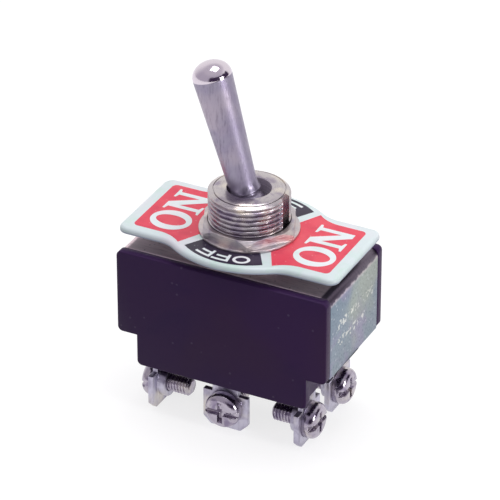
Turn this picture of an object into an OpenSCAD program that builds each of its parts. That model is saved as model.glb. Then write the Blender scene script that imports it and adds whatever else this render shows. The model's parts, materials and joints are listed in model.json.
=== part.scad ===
// Panel toggle switch: two poles, three lever positions (on, off, on), six
// screw terminals, a 12 mm threaded bushing and an on-off legend plate.
// Origin: on the bushing's axis, in the top face of the cover, which is the
// face that sits behind the panel. X runs along the body, Y across it, Z up
// through the bushing. The lever stands thrown towards -X.

/* [Body] */
// Length of the body over the outer faces of the cover's two flaps
body_length = 33.4; // [32.6:0.1:36]
// Width of the body over its two moulded side walls
body_width = 18.6; // [18.4:0.1:20]
// Height of the body from its underside to the top of the cover
body_height = 18.4; // [17.8:0.1:20]
// Thickness of the moulded side walls
wall_t = 1.5; // [1.2:0.1:1.6]
// Thickness of the moulded floor
floor_t = 3; // [2.6:0.1:3.3]
// How far each lower corner is cut back along the body
notch_length = 3.1; // [2.8:0.1:3.4]
// Height of that cut-back above the underside
notch_height = 5; // [4.6:0.1:5.4]
// How far the lower end walls lie back from the ends of the side walls
end_recess = 0.7; // [0.5:0.1:0.9]
// Roundness of the side walls' corners
corner_r = 0.8; // [0.4:0.1:1.2]

/* [Cover] */
// Thickness of the folded cover sheet
cover_t = 0.8; // [0.6:0.1:1]
// Outer radius of the cover's two folds
fold_r = 1.3; // [1:0.1:1.6]
// Width of the tab that clinches each flap under the body
tab_width = 2.5; // [2:0.1:4]
// How far each tab reaches in under the body
tab_reach = 2.5; // [2:0.1:2.8]
// Thickness of the fibre sheet under the cover
insulator_t = 0.4; // [0.2:0.1:0.5]

/* [Bushing] */
// Outer diameter of the bushing's thread
thread_d = 12; // [11.6:0.1:12.6]
// Height of the bushing above the cover
bushing_height = 9.8; // [9.2:0.1:10.4]
// Diameter of the hole that the lever comes out of
lever_hole_d = 6.4; // [6.2:0.1:6.8]
// Width of the chamfer round the bushing's top edge
bushing_chamfer = 0.5; // [0.3:0.1:0.7]
// Diameter of the foot that holds the bushing under the cover
foot_d = 14; // [13.4:0.1:14.6]
// Thickness of that foot
foot_t = 1.2; // [1:0.1:1.5]
// Width of the keyway down the bushing's thread
keyway_width = 2; // [1.6:0.1:2.4]
// Depth of that keyway
keyway_depth = 1.1; // [0.8:0.1:1.3]

/* [Nuts and washers] */
// Width across the flats of both hexagon nuts
nut_flats = 13; // [12.8:0.1:13.4]
// Thickness of the panel nut
nut_t = 1.4; // [1.2:0.1:1.6]
// Thickness of the nut behind the legend plate
rear_nut_t = 2.2; // [2:0.1:2.4]
// Height of the chamfer on the panel nut's upper corners
nut_chamfer = 0.7; // [0.5:0.1:0.9]
// Outer diameter of the flat washer under the panel nut
washer_d = 14.6; // [14.4:0.1:15.2]
// Thickness of that washer
washer_t = 0.45; // [0.35:0.05:0.6]
// Outer diameter of the toothed lock washer on the cover
lock_washer_d = 14.6; // [14.2:0.1:15.2]
// Thickness of the lock washer
lock_washer_t = 0.45; // [0.4:0.05:0.6]
// Number of inner teeth on the lock washer
lock_teeth = 12; // [8:1:16]

/* [Legend plate] */
// Length of the legend plate over both flags
legend_length = 34.6; // [33.6:0.1:36]
// Width of each flag
flag_width = 16; // [15.4:0.1:16.6]
// Width of the plate over its two bulging middle edges
bulge_width = 22.2; // [21.4:0.1:23]
// Radius of the bulging edges
bulge_r = 14; // [13:0.1:15.5]
// Radius of the hollow curves between bulge and flag
hollow_r = 5; // [3:0.5:7]
// Radius of the flags' outer corners
flag_corner_r = 1.5; // [0.8:0.1:2.5]
// Thickness of the legend plate
legend_t = 0.55; // [0.4:0.05:0.7]
// How far the plate's edge is turned down below its underside
legend_rim = 0.4; // [0.3:0.05:0.5]

/* [Lever] */
// Height of the lever's pivot above the cover
pivot_height = 6.6; // [6.2:0.1:7]
// Tilt of the lever from upright in either on position, in degrees
lever_tilt = 16.4; // [14:0.2:17]
// Distance from the pivot to the lever's tip
lever_length = 22.9; // [20:0.1:26]
// Diameter of the lever where it runs into its domed tip
lever_tip_d = 5.4; // [4.8:0.1:6]
// Diameter of the stem below the pivot
stem_d = 3.4; // [3:0.1:3.6]
// Diameter of the pin through the pivot
pin_d = 1.4; // [1.2:0.1:1.6]

/* [Contacts] */
// Distance between the two rows of poles
pole_pitch = 10.2; // [10:0.1:10.5]
// Tilt of a contact rocker from level in either on position, in degrees
rocker_tilt = 7.5; // [6.5:0.1:8]
// Thickness of a rocker where its plunger rides
rocker_t = 0.95; // [0.8:0.05:1.1]
// Width of a rocker
rocker_width = 4.4; // [4:0.1:4.6]
// Distance from a rocker's fulcrum to each of its contact buttons
contact_arm = 9; // [8.7:0.1:9.2]
// Height of the fulcrum above the centre terminal's shelf
fulcrum_rise = 1.4; // [1.2:0.1:1.6]
// Diameter of the contact buttons
contact_d = 2.4; // [2:0.1:2.6]
// Diameter of the plungers that ride on the rockers
plunger_d = 2.4; // [2.2:0.1:2.6]

/* [Terminals] */
// Thickness of the terminal strip
terminal_t = 0.8; // [0.6:0.1:0.9]
// Width of a terminal's screw plate
plate_width = 7.2; // [6.6:0.1:7.6]
// Height of a terminal's screw plate
plate_height = 5.8; // [5.5:0.1:6.4]
// Width of the neck that carries the plate
neck_width = 4.2; // [3.8:0.1:4.4]
// Length of neck that shows below the body
neck_length = 2; // [1.6:0.1:2.6]
// Size of the cut on each lower corner of a plate
plate_chamfer = 1.2; // [0.8:0.1:1.4]
// Distance from a plate's upper edge down to its screw
screw_drop = 2.3; // [2.1:0.1:2.7]
// Diameter of the terminal screws
screw_d = 2.9; // [2.6:0.1:3]
// Diameter of the screws' heads
head_d = 5.5; // [5:0.1:5.8]
// Height of the screws' heads
head_height = 1.9; // [1.6:0.1:2.2]
// Length of screw inside the plate's inner face
screw_reach = 5.7; // [4.5:0.1:5.8]
// Diameter of the drawn boss that is tapped for the screw
boss_d = 4.6; // [4.2:0.1:4.8]
// Height of that boss
boss_height = 1.2; // [0.8:0.1:1.6]

/* [Hidden] */

$fn = 64;
// Sides of -1 and +1 along each axis
LEFT = -1;
RIGHT = 1;
FRONT = -1;
BACK = 1;
// Overshoot of a cut past the face that it opens
cut = 1;

// Clearances
press_gap = 0.02;   // a piece pressed or fixed into another
run_gap = 0.05;     // a piece that turns or slides on another
fit_gap = 0.1;      // pieces laid together in one stack or box
swing_gap = 0.12;   // the lever and the edges that it swings past

// Levels of the body
body_bottom = -body_height;
floor_top = body_bottom + floor_t;
notch_top = body_bottom + notch_height;
ledge_t = 2;
ledge_top = notch_top + ledge_t;
seat_top = -cover_t - insulator_t;

// Lengths and widths of the body
half_length = body_length/2;
inner_half_width = body_width/2 - wall_t;
flap_inner = half_length - cover_t;
end_wall_t = 1;
end_wall_outer = flap_inner - fit_gap;
end_wall_inner = end_wall_outer - end_wall_t;
notch_inner = half_length - notch_length;
lower_wall_t = 0.6;
lower_outer = notch_inner - end_recess;
lower_inner = lower_outer - lower_wall_t;
rib_t = 1.2;

// Bushing and the stack on it
thread_r = thread_d/2;
thread_depth = 0.25;
engaged_r = thread_r - thread_depth;
nut_bore_r = engaged_r + run_gap;
washer_bore_r = thread_r + 2*fit_gap;
lever_hole_r = lever_hole_d/2;
foot_bottom = -cover_t - foot_t;
stem_r = stem_d/2;
flare_r = (pivot_height - foot_bottom)*tan(lever_tilt)
  + stem_r/cos(lever_tilt) + swing_gap;
key_floor = thread_r - keyway_depth;
rear_nut_z = lock_washer_t;
legend_z = rear_nut_z + rear_nut_t;
washer_z = legend_z + legend_t;
panel_nut_z = washer_z + washer_t;
stack_top = panel_nut_z + nut_t;
nut_corner_r = nut_flats/2/cos(30);

// Lever
ball_r = lever_hole_r - 0.25;
lever_tip_r = lever_tip_d/2;
rim_rise = bushing_height - pivot_height;
neck_r = (lever_hole_r - rim_rise*tan(lever_tilt))*cos(lever_tilt) - swing_gap;
neck_s = rim_rise/cos(lever_tilt);
pin_r = pin_d/2;
pin_slot_r = pin_r + run_gap;
pin_half = lever_hole_r + 1.2;

// Fulcrum, and the rocker's arc, which keeps the plunger's tip pressed on it
// equally when the lever is upright and when it is thrown
shelf_top = floor_top + terminal_t;
fulcrum_z = shelf_top + fulcrum_rise;
pivot_over_fulcrum = pivot_height - fulcrum_z;
plunger_r = plunger_d/2;
plunger_reach = pivot_over_fulcrum - rocker_t - run_gap;
tip_centre = plunger_reach - plunger_r;
arc_r = pivot_over_fulcrum*tip_centre*(1 - cos(lever_tilt))
  /(tip_centre*sin(lever_tilt)*sin(rocker_tilt)
    + (pivot_over_fulcrum - tip_centre*cos(lever_tilt))*cos(rocker_tilt)
    - (pivot_over_fulcrum - tip_centre));
arc_inner_r = arc_r - rocker_t;
throw_x = tip_centre*sin(lever_tilt) - arc_r*sin(rocker_tilt);
throw_z = tip_centre*cos(lever_tilt) + arc_r*cos(rocker_tilt)
  - pivot_over_fulcrum;
ride_angle = atan2(throw_x, throw_z) + rocker_tilt;
arc_half = arc_inner_r*sin(ride_angle + 3);
arm_top = arc_r - arc_inner_r*cos(ride_angle);
arm_t = 0.9;
arm_bottom = arm_top - arm_t;
arm_end = contact_arm + contact_d/2 + fit_gap;
ridge_r = 0.5;
groove_r = ridge_r + run_gap;

// Contact buttons: domed on the rocker, flat on the terminals
button_drop = 1;
button_face = arm_bottom - button_drop;
dome_r = 3;
fixed_x = contact_arm*cos(rocker_tilt) + (button_face + dome_r)*sin(rocker_tilt);
fixed_top = fulcrum_z - contact_arm*sin(rocker_tilt)
  + (button_face + dome_r)*cos(rocker_tilt) - dome_r - run_gap;

// Actuator on the stem, measured down the lever from its pivot
plunger_show = 2.2;   // length of plunger outside its socket
socket_length = 3.2;  // length of socket below the bar
socket_end = plunger_reach - plunger_show;
bar_end = socket_end - socket_length;
bar_height = 3;
bar_start = bar_end - bar_height;
bar_half = 2.9;
spring_start = bar_start + 1;
plunger_length = 4.8;
spring_end = plunger_reach - plunger_length;
stem_end = bar_end - 0.8;
bore_r = plunger_r + run_gap;
socket_r = bore_r + 0.65;
bar_half_width = pole_pitch/2 + socket_r + 0.2;
spring_r = plunger_r - fit_gap;
spring_wire = 0.3;
rib_drop = 2.2;       // the rib's top below the bar, which swings over it
rib_top = pivot_height - bar_end - rib_drop;

// Terminals
pole_y = pole_pitch/2;
end_face = lower_inner - fit_gap;
plate_top = body_bottom - neck_length;
plate_bottom = plate_top - plate_height;
screw_z = plate_top - screw_drop;
screw_r = screw_d/2;
tap_r = screw_r + run_gap;
head_r = head_d/2;
shelf_inner = fixed_x - contact_d/2 - 0.4;
centre_shelf = pole_y - rocker_width/2 + fit_gap;
bend_r = terminal_t;
slot_width = 0.8;
slot_depth = 0.8;
cross_span = 0.6*head_d;
head_edge_r = 1.1;
screw_tip = 0.4;

// Extrudes a flat shape, drawn in x and z, from y0 to y1
module across(y0, y1) {
  translate([0, y1, 0])
    rotate([90, 0, 0])
      linear_extrude(y1 - y0)
        children();
}

// Box given by its limits along each axis
module block(x0, x1, y0, y1, z0, z1) {
  translate([x0, y0, z0])
    cube([x1 - x0, y1 - y0, z1 - z0]);
}

// Rectangle on the x axis, centred, with four round corners
module round_rectangle(w, h, r) {
  translate([r - w/2, 0])
    square([w - 2*r, h]);
  translate([-w/2, r])
    square([w, h - 2*r]);
  for (x = [r - w/2, w/2 - r], z = [r, h - r])
    translate([x, z])
      circle(r);
}

// Rectangle hanging down from z = 0, with its two upper corners round
module arch(half, depth, r) {
  translate([-half, -depth])
    square([2*half, depth - r]);
  translate([r - half, -depth])
    square([2*(half - r), depth]);
  for (x = [r - half, half - r])
    translate([x, -r])
      circle(r);
}

// Hexagonal nut, standing on z = 0, its upper corners cut by a cone at 45
// degrees that meets the nut's top in a circle
module hex_nut(turn, height, chamfer) {
  top_r = nut_corner_r - chamfer;
  difference() {
    intersection() {
      rotate([0, 0, turn])
        cylinder(r = nut_corner_r, h = height, $fn = 6);
      cylinder(r1 = top_r + height, r2 = top_r, h = height);
    }
    translate([0, 0, -cut])
      cylinder(r = nut_bore_r, h = height + 2*cut);
  }
}

// Turns the lever's own axes, with z up the lever, to its thrown position
module thrown() {
  translate([0, 0, pivot_height])
    rotate([0, -lever_tilt, 0])
      children();
}

// Turns a rocker's own axes to its thrown position on the fulcrum
module tipped(side) {
  translate([0, side*pole_y, fulcrum_z])
    rotate([0, rocker_tilt, 0])
      children();
}

// Side view of the body: a long upper part and a shorter foot
module body_outline() {
  translate([0, notch_top])
    round_rectangle(body_length, -notch_top, corner_r);
  translate([0, body_bottom])
    round_rectangle(2*notch_inner, notch_height + 2*corner_r, corner_r);
}

module housing() {
  slot_gap = press_gap;
  color("#38263f")
    difference() {
      union() {
        for (side = [FRONT, BACK])
          across(min(side*inner_half_width, side*body_width/2),
                 max(side*inner_half_width, side*body_width/2))
            body_outline();
        // floor and lower end walls, set back from the side walls' ends
        block(-lower_outer, lower_outer, -inner_half_width, inner_half_width,
              body_bottom + corner_r/2, floor_top);
        for (end = [LEFT, RIGHT]) {
          across(-inner_half_width, inner_half_width)
            end_section(end);
        }
        // rib between the two poles
        block(-lower_inner - lower_wall_t/2, lower_inner + lower_wall_t/2,
              -rib_t/2, rib_t/2, floor_top - cut, rib_top);
      }
      // slots that the terminals' necks stand in
      for (end = [LEFT, RIGHT], side = [FRONT, BACK])
        translate([end*(end_face - terminal_t/2), side*pole_y, body_bottom])
          cube([terminal_t + 2*slot_gap, neck_width + 2*slot_gap, 4*floor_t],
               center = true);
      for (side = [FRONT, BACK])
        translate([0, side*(inner_half_width - terminal_t/2 + slot_gap), body_bottom])
          cube([neck_width + 2*slot_gap, terminal_t + 2*slot_gap, 4*floor_t],
               center = true);
    }
}

// Section through one end of the body: lower wall, ledge and upper wall
module end_section(end) {
  mirror([end < 0 ? 1 : 0, 0]) {
    translate([lower_inner, floor_top - cut])
      square([lower_wall_t, ledge_top - floor_top + cut]);
    translate([lower_inner, notch_top])
      square([end_wall_outer - lower_inner, ledge_t]);
    translate([end_wall_inner, notch_top])
      square([end_wall_t, seat_top - notch_top]);
  }
}

module cover_frame() {
  flap_bottom = notch_top + 2*fit_gap;
  color("#8d97a2")
    difference() {
      union() {
        across(-(inner_half_width - press_gap), inner_half_width - press_gap)
          difference() {
            arch(half_length, -flap_bottom, fold_r);
            translate([0, -cover_t])
              arch(flap_inner, -flap_bottom, fold_r - cover_t);
          }
        for (end = [LEFT, RIGHT])
          across(-tab_width/2, tab_width/2)
            clinch(end, flap_bottom);
      }
      // hole that the bushing is staked into
      translate([0, 0, -cover_t - cut])
        cylinder(r = nut_bore_r, h = cover_t + 2*cut);
    }
}

// Tab that runs on down from a flap and is folded in under the body's ledge
module clinch(end, flap_bottom) {
  tab_bottom = notch_top - cover_t;
  mirror([end < 0 ? 1 : 0, 0])
    difference() {
      union() {
        translate([half_length - tab_reach, tab_bottom])
          square([tab_reach - fold_r, flap_bottom - tab_bottom]);
        translate([half_length - fold_r, tab_bottom + fold_r])
          circle(fold_r);
        translate([flap_inner, tab_bottom + fold_r])
          square([cover_t, flap_bottom - tab_bottom - fold_r + cover_t]);
      }
      translate([half_length - tab_reach - cut, notch_top])
        square([tab_reach - cover_t + cut, cut + fold_r]);
    }
}

module insulator() {
  sheet_half = half_length - fold_r - fit_gap;
  color("#6b4a2f")
    difference() {
      block(-sheet_half, sheet_half,
            fit_gap - inner_half_width, inner_half_width - fit_gap,
            seat_top, -cover_t);
      translate([0, 0, seat_top - cut])
        cylinder(d = foot_d + 2*fit_gap, h = insulator_t + 2*cut);
    }
}

module bushing() {
  flare_top = pivot_height - 0.6;
  bore_depth = bushing_height - foot_bottom + 2*cut;
  color("#c9c3bd")
    difference() {
      union() {
        translate([0, 0, foot_bottom])
          cylinder(d = foot_d, h = foot_t);
        // engaged length, at the pitch radius of the thread
        translate([0, 0, foot_bottom])
          cylinder(r = engaged_r, h = stack_top - foot_bottom);
        // free length, at the full radius of the thread
        translate([0, 0, stack_top])
          cylinder(r = thread_r, h = bushing_height - bushing_chamfer - stack_top);
        translate([0, 0, bushing_height - bushing_chamfer])
          cylinder(r1 = thread_r, r2 = thread_r - bushing_chamfer, h = bushing_chamfer);
      }
      // lever hole, flared below the pivot to let the stem swing
      translate([0, 0, foot_bottom - cut])
        cylinder(r = lever_hole_r, h = bore_depth);
      translate([0, 0, foot_bottom])
        cylinder(r1 = flare_r, r2 = lever_hole_r, h = flare_top - foot_bottom);
      // slots that the pivot pin is slid up into from below
      across(-pin_half - 2*fit_gap, pin_half + 2*fit_gap) {
        translate([-pin_slot_r, foot_bottom - cut])
          square([2*pin_slot_r, pivot_height - foot_bottom + cut]);
        translate([0, pivot_height])
          circle(pin_slot_r);
      }
      block(key_floor, foot_d, -keyway_width/2, keyway_width/2,
            0, bushing_height + cut);
    }
}

module lock_washer() {
  tooth_root = (lock_washer_d/2 + washer_bore_r)/2;
  color("#b9b4b0")
    linear_extrude(lock_washer_t)
      difference() {
        circle(d = lock_washer_d);
        circle(washer_bore_r);
        for (i = [0 : lock_teeth - 1])
          rotate(i*360/lock_teeth)
            translate([0, -washer_bore_r*sin(90/lock_teeth)])
              square([tooth_root, 2*washer_bore_r*sin(90/lock_teeth)]);
      }
}

module rear_nut() {
  rear_nut_turn = 8;
  color("#b9b4b0")
    translate([0, 0, rear_nut_z])
      hex_nut(rear_nut_turn, rear_nut_t, nut_chamfer/2);
}

// Outline of the legend plate, drawn in by an inset: two flags and a middle
// with bulging edges, joined by hollow curves that are tangent to both
module legend_outline(inset) {
  bulge_offset = bulge_r - bulge_width/2;
  hollow_y = flag_width/2 + hollow_r;
  hollow_x = sqrt(pow(bulge_r + hollow_r, 2) - pow(bulge_offset + hollow_y, 2));
  share = (bulge_r - inset)/(bulge_r + hollow_r);
  meet_x = hollow_x*share;
  meet_y = (bulge_offset + hollow_y)*share - bulge_offset;
  translate([0, inset - flag_width/2])
    round_rectangle(legend_length - 2*inset, flag_width - 2*inset, flag_corner_r - inset);
  intersection() {
    translate([0, bulge_offset])
      circle(bulge_r - inset);
    translate([0, -bulge_offset])
      circle(bulge_r - inset);
  }
  for (turn_x = [0, 1], turn_y = [0, 1])
    mirror([turn_x, 0])
      mirror([0, turn_y])
        difference() {
          translate([meet_x, 0])
            square([hollow_x - meet_x, meet_y]);
          translate([hollow_x, hollow_y])
            circle(hollow_r + inset);
        }
}

module legend_plate() {
  nib_gap = fit_gap;
  color("#d6e5e5") {
    translate([0, 0, legend_z])
      linear_extrude(legend_t) {
        difference() {
          legend_outline(0);
          circle(washer_bore_r);
        }
        // nib that stands in the bushing's keyway
        translate([key_floor + nib_gap, nib_gap - keyway_width/2])
          square([washer_bore_r - key_floor, keyway_width - 2*nib_gap]);
      }
    // edge turned down all round
    translate([0, 0, legend_z - legend_rim])
      linear_extrude(legend_rim)
        difference() {
          legend_outline(0);
          legend_outline(legend_t);
        }
  }
}

module washer() {
  color("#c4c0bc")
    translate([0, 0, washer_z])
      difference() {
        cylinder(d = washer_d, h = washer_t);
        translate([0, 0, -cut])
          cylinder(r = washer_bore_r, h = washer_t + 2*cut);
      }
}

module panel_nut() {
  panel_nut_turn = 54;
  color("#d3ccc6")
    translate([0, 0, panel_nut_z])
      hex_nut(panel_nut_turn, nut_t, nut_chamfer);
}

module lever() {
  color("#9a93a6")
    thrown()
      difference() {
        union() {
          sphere(ball_r);
          cylinder(r = neck_r, h = neck_s);
          translate([0, 0, neck_s])
            cylinder(r1 = neck_r, r2 = lever_tip_r, h = lever_length - lever_tip_r - neck_s);
          translate([0, 0, lever_length - lever_tip_r])
            sphere(lever_tip_r);
          translate([0, 0, -stem_end])
            cylinder(r = stem_r, h = stem_end);
        }
        rotate([90, 0, 0])
          cylinder(r = pin_r + press_gap, h = 4*ball_r, center = true);
      }
}

module pivot_pin() {
  color("#a9a6a4")
    thrown()
      rotate([90, 0, 0])
        cylinder(r = pin_r, h = 2*pin_half, center = true);
}

// Moulded carrier on the stem's end, with a spring socket over each rocker
module actuator() {
  color("#e6e0cf")
    thrown()
      difference() {
        union() {
          block(-bar_half, bar_half, -bar_half_width, bar_half_width,
                -bar_end, -bar_start);
          for (side = [FRONT, BACK])
            translate([0, side*pole_y, -socket_end])
              cylinder(r = socket_r, h = socket_end - bar_start);
        }
        for (side = [FRONT, BACK])
          translate([0, side*pole_y, -socket_end - cut])
            cylinder(r = bore_r, h = socket_end - spring_start + cut);
        translate([0, 0, -stem_end])
          cylinder(r = stem_r + press_gap, h = stem_end);
      }
}

// Round-nosed plunger that rides in a socket and on a rocker
module plunger(side) {
  color("#d9d4c6")
    thrown()
      translate([0, side*pole_y, -tip_centre]) {
        sphere(plunger_r);
        cylinder(r = plunger_r, h = tip_centre - spring_end);
      }
}

// Spring behind a plunger, as the closed sleeve that its coils fill
module spring(side) {
  color("#8f8f93")
    thrown()
      translate([0, side*pole_y, -spring_end])
        difference() {
          cylinder(r = spring_r, h = spring_end - spring_start);
          translate([0, 0, -cut])
            cylinder(r = spring_r - spring_wire, h = spring_end - spring_start + 2*cut);
        }
}

// Contact rocker: a round trough that the plunger rides in, standing in a
// groove on its fulcrum, with a flat arm to each side
module rocker(side) {
  color("#b8793f")
    tipped(side)
      across(-rocker_width/2, rocker_width/2)
        difference() {
          union() {
            intersection() {
              translate([0, arc_r])
                circle(arc_r);
              translate([-arc_half, 0])
                square([2*arc_half, arc_r/2]);
            }
            translate([-arm_end, arm_bottom])
              square([2*arm_end, arm_t]);
          }
          translate([0, arc_r])
            circle(arc_inner_r);
          circle(groove_r);
        }
}

// Domed contact buttons under the two arms of a rocker
module rocker_tips(side) {
  color("#cfcfcb")
    tipped(side)
      for (end = [LEFT, RIGHT])
        translate([end*contact_arm, 0, 0])
          intersection() {
            translate([0, 0, button_face])
              cylinder(d = contact_d, h = button_drop);
            translate([0, 0, button_face + dome_r])
              sphere(dome_r);
          }
}

// Flat contact buttons on the four end terminals
module fixed_contacts() {
  color("#cfcfcb")
    for (end = [LEFT, RIGHT], side = [FRONT, BACK])
      translate([end*fixed_x, side*pole_y, shelf_top])
        cylinder(d = contact_d, h = fixed_top - shelf_top);
}

// Screw plate and neck, drawn flat: x across the plate, y up from its edge
module plate_outline() {
  half = plate_width/2;
  polygon([
    [-half, plate_chamfer], [plate_chamfer - half, 0],
    [half - plate_chamfer, 0], [half, plate_chamfer],
    [half, plate_height], [-half, plate_height]
  ]);
  translate([-neck_width/2, 0])
    square([neck_width, shelf_top - bend_r - plate_bottom]);
}

// Terminal with its outer face on the plane x = 0 and its body towards -x:
// screw plate, tapped boss, neck, bend, and a shelf inside the housing
module terminal_strip(shelf_length) {
  difference() {
    union() {
      translate([-terminal_t, 0, plate_bottom])
        rotate([90, 0, 90])
          linear_extrude(terminal_t)
            plate_outline();
      across(-neck_width/2, neck_width/2) {
        translate([-shelf_length, shelf_top - terminal_t])
          square([shelf_length - bend_r, terminal_t]);
        intersection() {
          translate([-bend_r, shelf_top - bend_r])
            circle(bend_r);
          translate([-bend_r, shelf_top - bend_r])
            square(bend_r);
        }
      }
      translate([-terminal_t - boss_height, 0, screw_z])
        rotate([0, 90, 0])
          cylinder(d = boss_d, h = boss_height);
    }
    translate([-terminal_t - boss_height - cut, 0, screw_z])
      rotate([0, 90, 0])
        cylinder(r = tap_r, h = terminal_t + boss_height + 2*cut);
  }
}

module end_terminal(end, side) {
  color("#aab0b8")
    translate([end*end_face, side*pole_y, 0])
      mirror([end < 0 ? 1 : 0, 0, 0])
        terminal_strip(end_face - shelf_inner);
}

// Centre terminal: its shelf carries the ridge that the rocker stands on
module centre_terminal(side) {
  color("#aab0b8") {
    translate([0, side*inner_half_width, 0])
      rotate([0, 0, side*90])
        terminal_strip(inner_half_width - centre_shelf);
    across(min(side*centre_shelf, side*(2*pole_y - centre_shelf)),
           max(side*centre_shelf, side*(2*pole_y - centre_shelf))) {
      translate([-ridge_r, shelf_top])
        square([2*ridge_r, fulcrum_rise]);
      translate([0, fulcrum_z])
        circle(ridge_r);
    }
  }
}

// Pan-head screw with a cross and slot recess, its head on the plane x = 0
module terminal_screw() {
  shank = terminal_t + screw_reach;
  color("#a7a0ab")
    rotate([0, 90, 0])
      difference() {
        union() {
          translate([0, 0, screw_tip - shank])
            cylinder(r = screw_r, h = shank - screw_tip);
          translate([0, 0, -shank])
            cylinder(r1 = screw_r - screw_tip, r2 = screw_r, h = screw_tip);
          rotate_extrude()
            head_section();
        }
        translate([0, 0, head_height])
          cube([slot_width, 4*head_r, 2*slot_depth], center = true);
        translate([0, 0, head_height])
          cube([cross_span, slot_width, 2*slot_depth], center = true);
      }
}

// Half section of a pan head, with a round upper edge
module head_section() {
  square([head_r - head_edge_r, head_height]);
  square([head_r, head_height - head_edge_r]);
  translate([head_r - head_edge_r, head_height - head_edge_r])
    intersection() {
      circle(head_edge_r);
      square(head_edge_r);
    }
}

module end_screw(end, side) {
  translate([end*end_face, side*pole_y, screw_z])
    mirror([end < 0 ? 1 : 0, 0, 0])
      terminal_screw();
}

module centre_screw(side) {
  translate([0, side*inner_half_width, screw_z])
    rotate([0, 0, side*90])
      terminal_screw();
}

housing();
cover_frame();
insulator();
bushing();
lock_washer();
rear_nut();
legend_plate();
washer();
panel_nut();
lever();
pivot_pin();
actuator();
plunger(FRONT);  // plunger_front
plunger(BACK);  // plunger_back
spring(FRONT);  // spring_front
spring(BACK);  // spring_back
rocker(FRONT);  // rocker_front
rocker(BACK);  // rocker_back
rocker_tips(FRONT);  // rocker_tips_front
rocker_tips(BACK);  // rocker_tips_back
fixed_contacts();
end_terminal(LEFT, FRONT);  // terminal_front_left
centre_terminal(FRONT);  // terminal_front_centre
end_terminal(RIGHT, FRONT);  // terminal_front_right
end_terminal(LEFT, BACK);  // terminal_back_left
centre_terminal(BACK);  // terminal_back_centre
end_terminal(RIGHT, BACK);  // terminal_back_right
end_screw(LEFT, FRONT);  // screw_front_left
centre_screw(FRONT);  // screw_front_centre
end_screw(RIGHT, FRONT);  // screw_front_right
end_screw(LEFT, BACK);  // screw_back_left
centre_screw(BACK);  // screw_back_centre
end_screw(RIGHT, BACK);  // screw_back_right
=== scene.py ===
"""Dresses the panel toggle switch: threaded bushing, printed legend plate,
hexagon nuts, cross-slot screws, zinc-plated sheet and a satin nickel lever."""

import json
import math

import bmesh
import bpy
import numpy as np
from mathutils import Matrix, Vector

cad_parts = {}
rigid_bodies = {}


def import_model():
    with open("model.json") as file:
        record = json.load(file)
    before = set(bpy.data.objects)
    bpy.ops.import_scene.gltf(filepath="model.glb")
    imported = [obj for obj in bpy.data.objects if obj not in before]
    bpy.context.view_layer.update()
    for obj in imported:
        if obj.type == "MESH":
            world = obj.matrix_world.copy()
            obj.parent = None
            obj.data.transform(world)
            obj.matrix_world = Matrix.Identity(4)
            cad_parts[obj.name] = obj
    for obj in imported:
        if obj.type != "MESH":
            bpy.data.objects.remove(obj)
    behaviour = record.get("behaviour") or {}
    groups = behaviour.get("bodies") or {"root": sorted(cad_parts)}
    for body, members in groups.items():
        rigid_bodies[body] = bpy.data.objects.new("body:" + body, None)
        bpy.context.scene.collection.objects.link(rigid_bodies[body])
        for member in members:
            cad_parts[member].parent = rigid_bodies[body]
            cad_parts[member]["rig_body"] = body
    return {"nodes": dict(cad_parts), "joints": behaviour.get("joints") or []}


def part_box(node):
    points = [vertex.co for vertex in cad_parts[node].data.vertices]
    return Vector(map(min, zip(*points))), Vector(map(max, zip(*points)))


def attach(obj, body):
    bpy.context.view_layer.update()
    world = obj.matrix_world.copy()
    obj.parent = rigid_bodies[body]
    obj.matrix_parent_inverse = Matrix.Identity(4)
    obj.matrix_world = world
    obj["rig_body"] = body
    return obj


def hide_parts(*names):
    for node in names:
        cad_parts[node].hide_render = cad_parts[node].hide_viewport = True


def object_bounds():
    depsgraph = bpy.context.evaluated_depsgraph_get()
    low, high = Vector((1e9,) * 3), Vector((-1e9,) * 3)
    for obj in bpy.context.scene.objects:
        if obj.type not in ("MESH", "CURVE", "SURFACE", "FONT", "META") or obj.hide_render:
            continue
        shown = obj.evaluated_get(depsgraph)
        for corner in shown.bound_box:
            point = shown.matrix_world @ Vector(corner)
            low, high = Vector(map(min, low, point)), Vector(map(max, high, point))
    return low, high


bl_info = {
    "name": "Panel Toggle Switch",
    "version": (1, 0, 0),
    "blender": (4, 5, 0),
    "location": "3D View > Sidebar > Switch",
    "description": "Builds the looks of a two-pole panel toggle switch",
    "category": "Add Mesh",
}

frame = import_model()
CAD_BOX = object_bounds()

# Shapes are worked out in millimetres and put into meshes in metres
MM = 0.001
TURN = 2 * math.pi

# Lever, in millimetres from its pivot
LEVER_LENGTH = 22.9
TIP_RADIUS = 2.88
TIP_DOME = 2.3
NECK_RADIUS = 2.046
COLLAR_RADIUS = 2.42
COLLAR_START = 2.74
BALL_RADIUS = 2.95
STEM_RADIUS = 1.7
STEM_END = 12.6

# Bushing, in millimetres
THREAD_RADIUS = 5.95
HOLE_RADIUS = 3.2
FACE_RADIUS = 5.06
RIM_RADIUS = FACE_RADIUS + 0.24
CHAMFER_SLOPE = 2.4
KEYWAY_FLOOR = 5.22
KEYWAY_HALF = 1.0
BARREL_RADIUS = 5.75
FOOT_BORE = 5.69
COVER_UNDERSIDE = -0.8

# Nuts, washer and terminal screws, in millimetres
NUT_FLATS = 13.0
NUT_BORE = 5.85
NUT_CORNER_ROUND = 0.16
NUT_FOOT_CHAMFER = 0.12
NUT_SINK = 0.22
WASHER_BORE = 6.2
WASHER_EDGE = 0.12
SCREW_HEAD = 1.9
SCREW_RADIUS = 1.45
SCREW_THREAD = 0.27
SCREW_START = 1.0

# Legend plate, in millimetres
PLATE_THICK = 0.55
PLATE_BORE = 6.2
NIB_X = 5.0
NIB_HALF = 0.9

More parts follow.
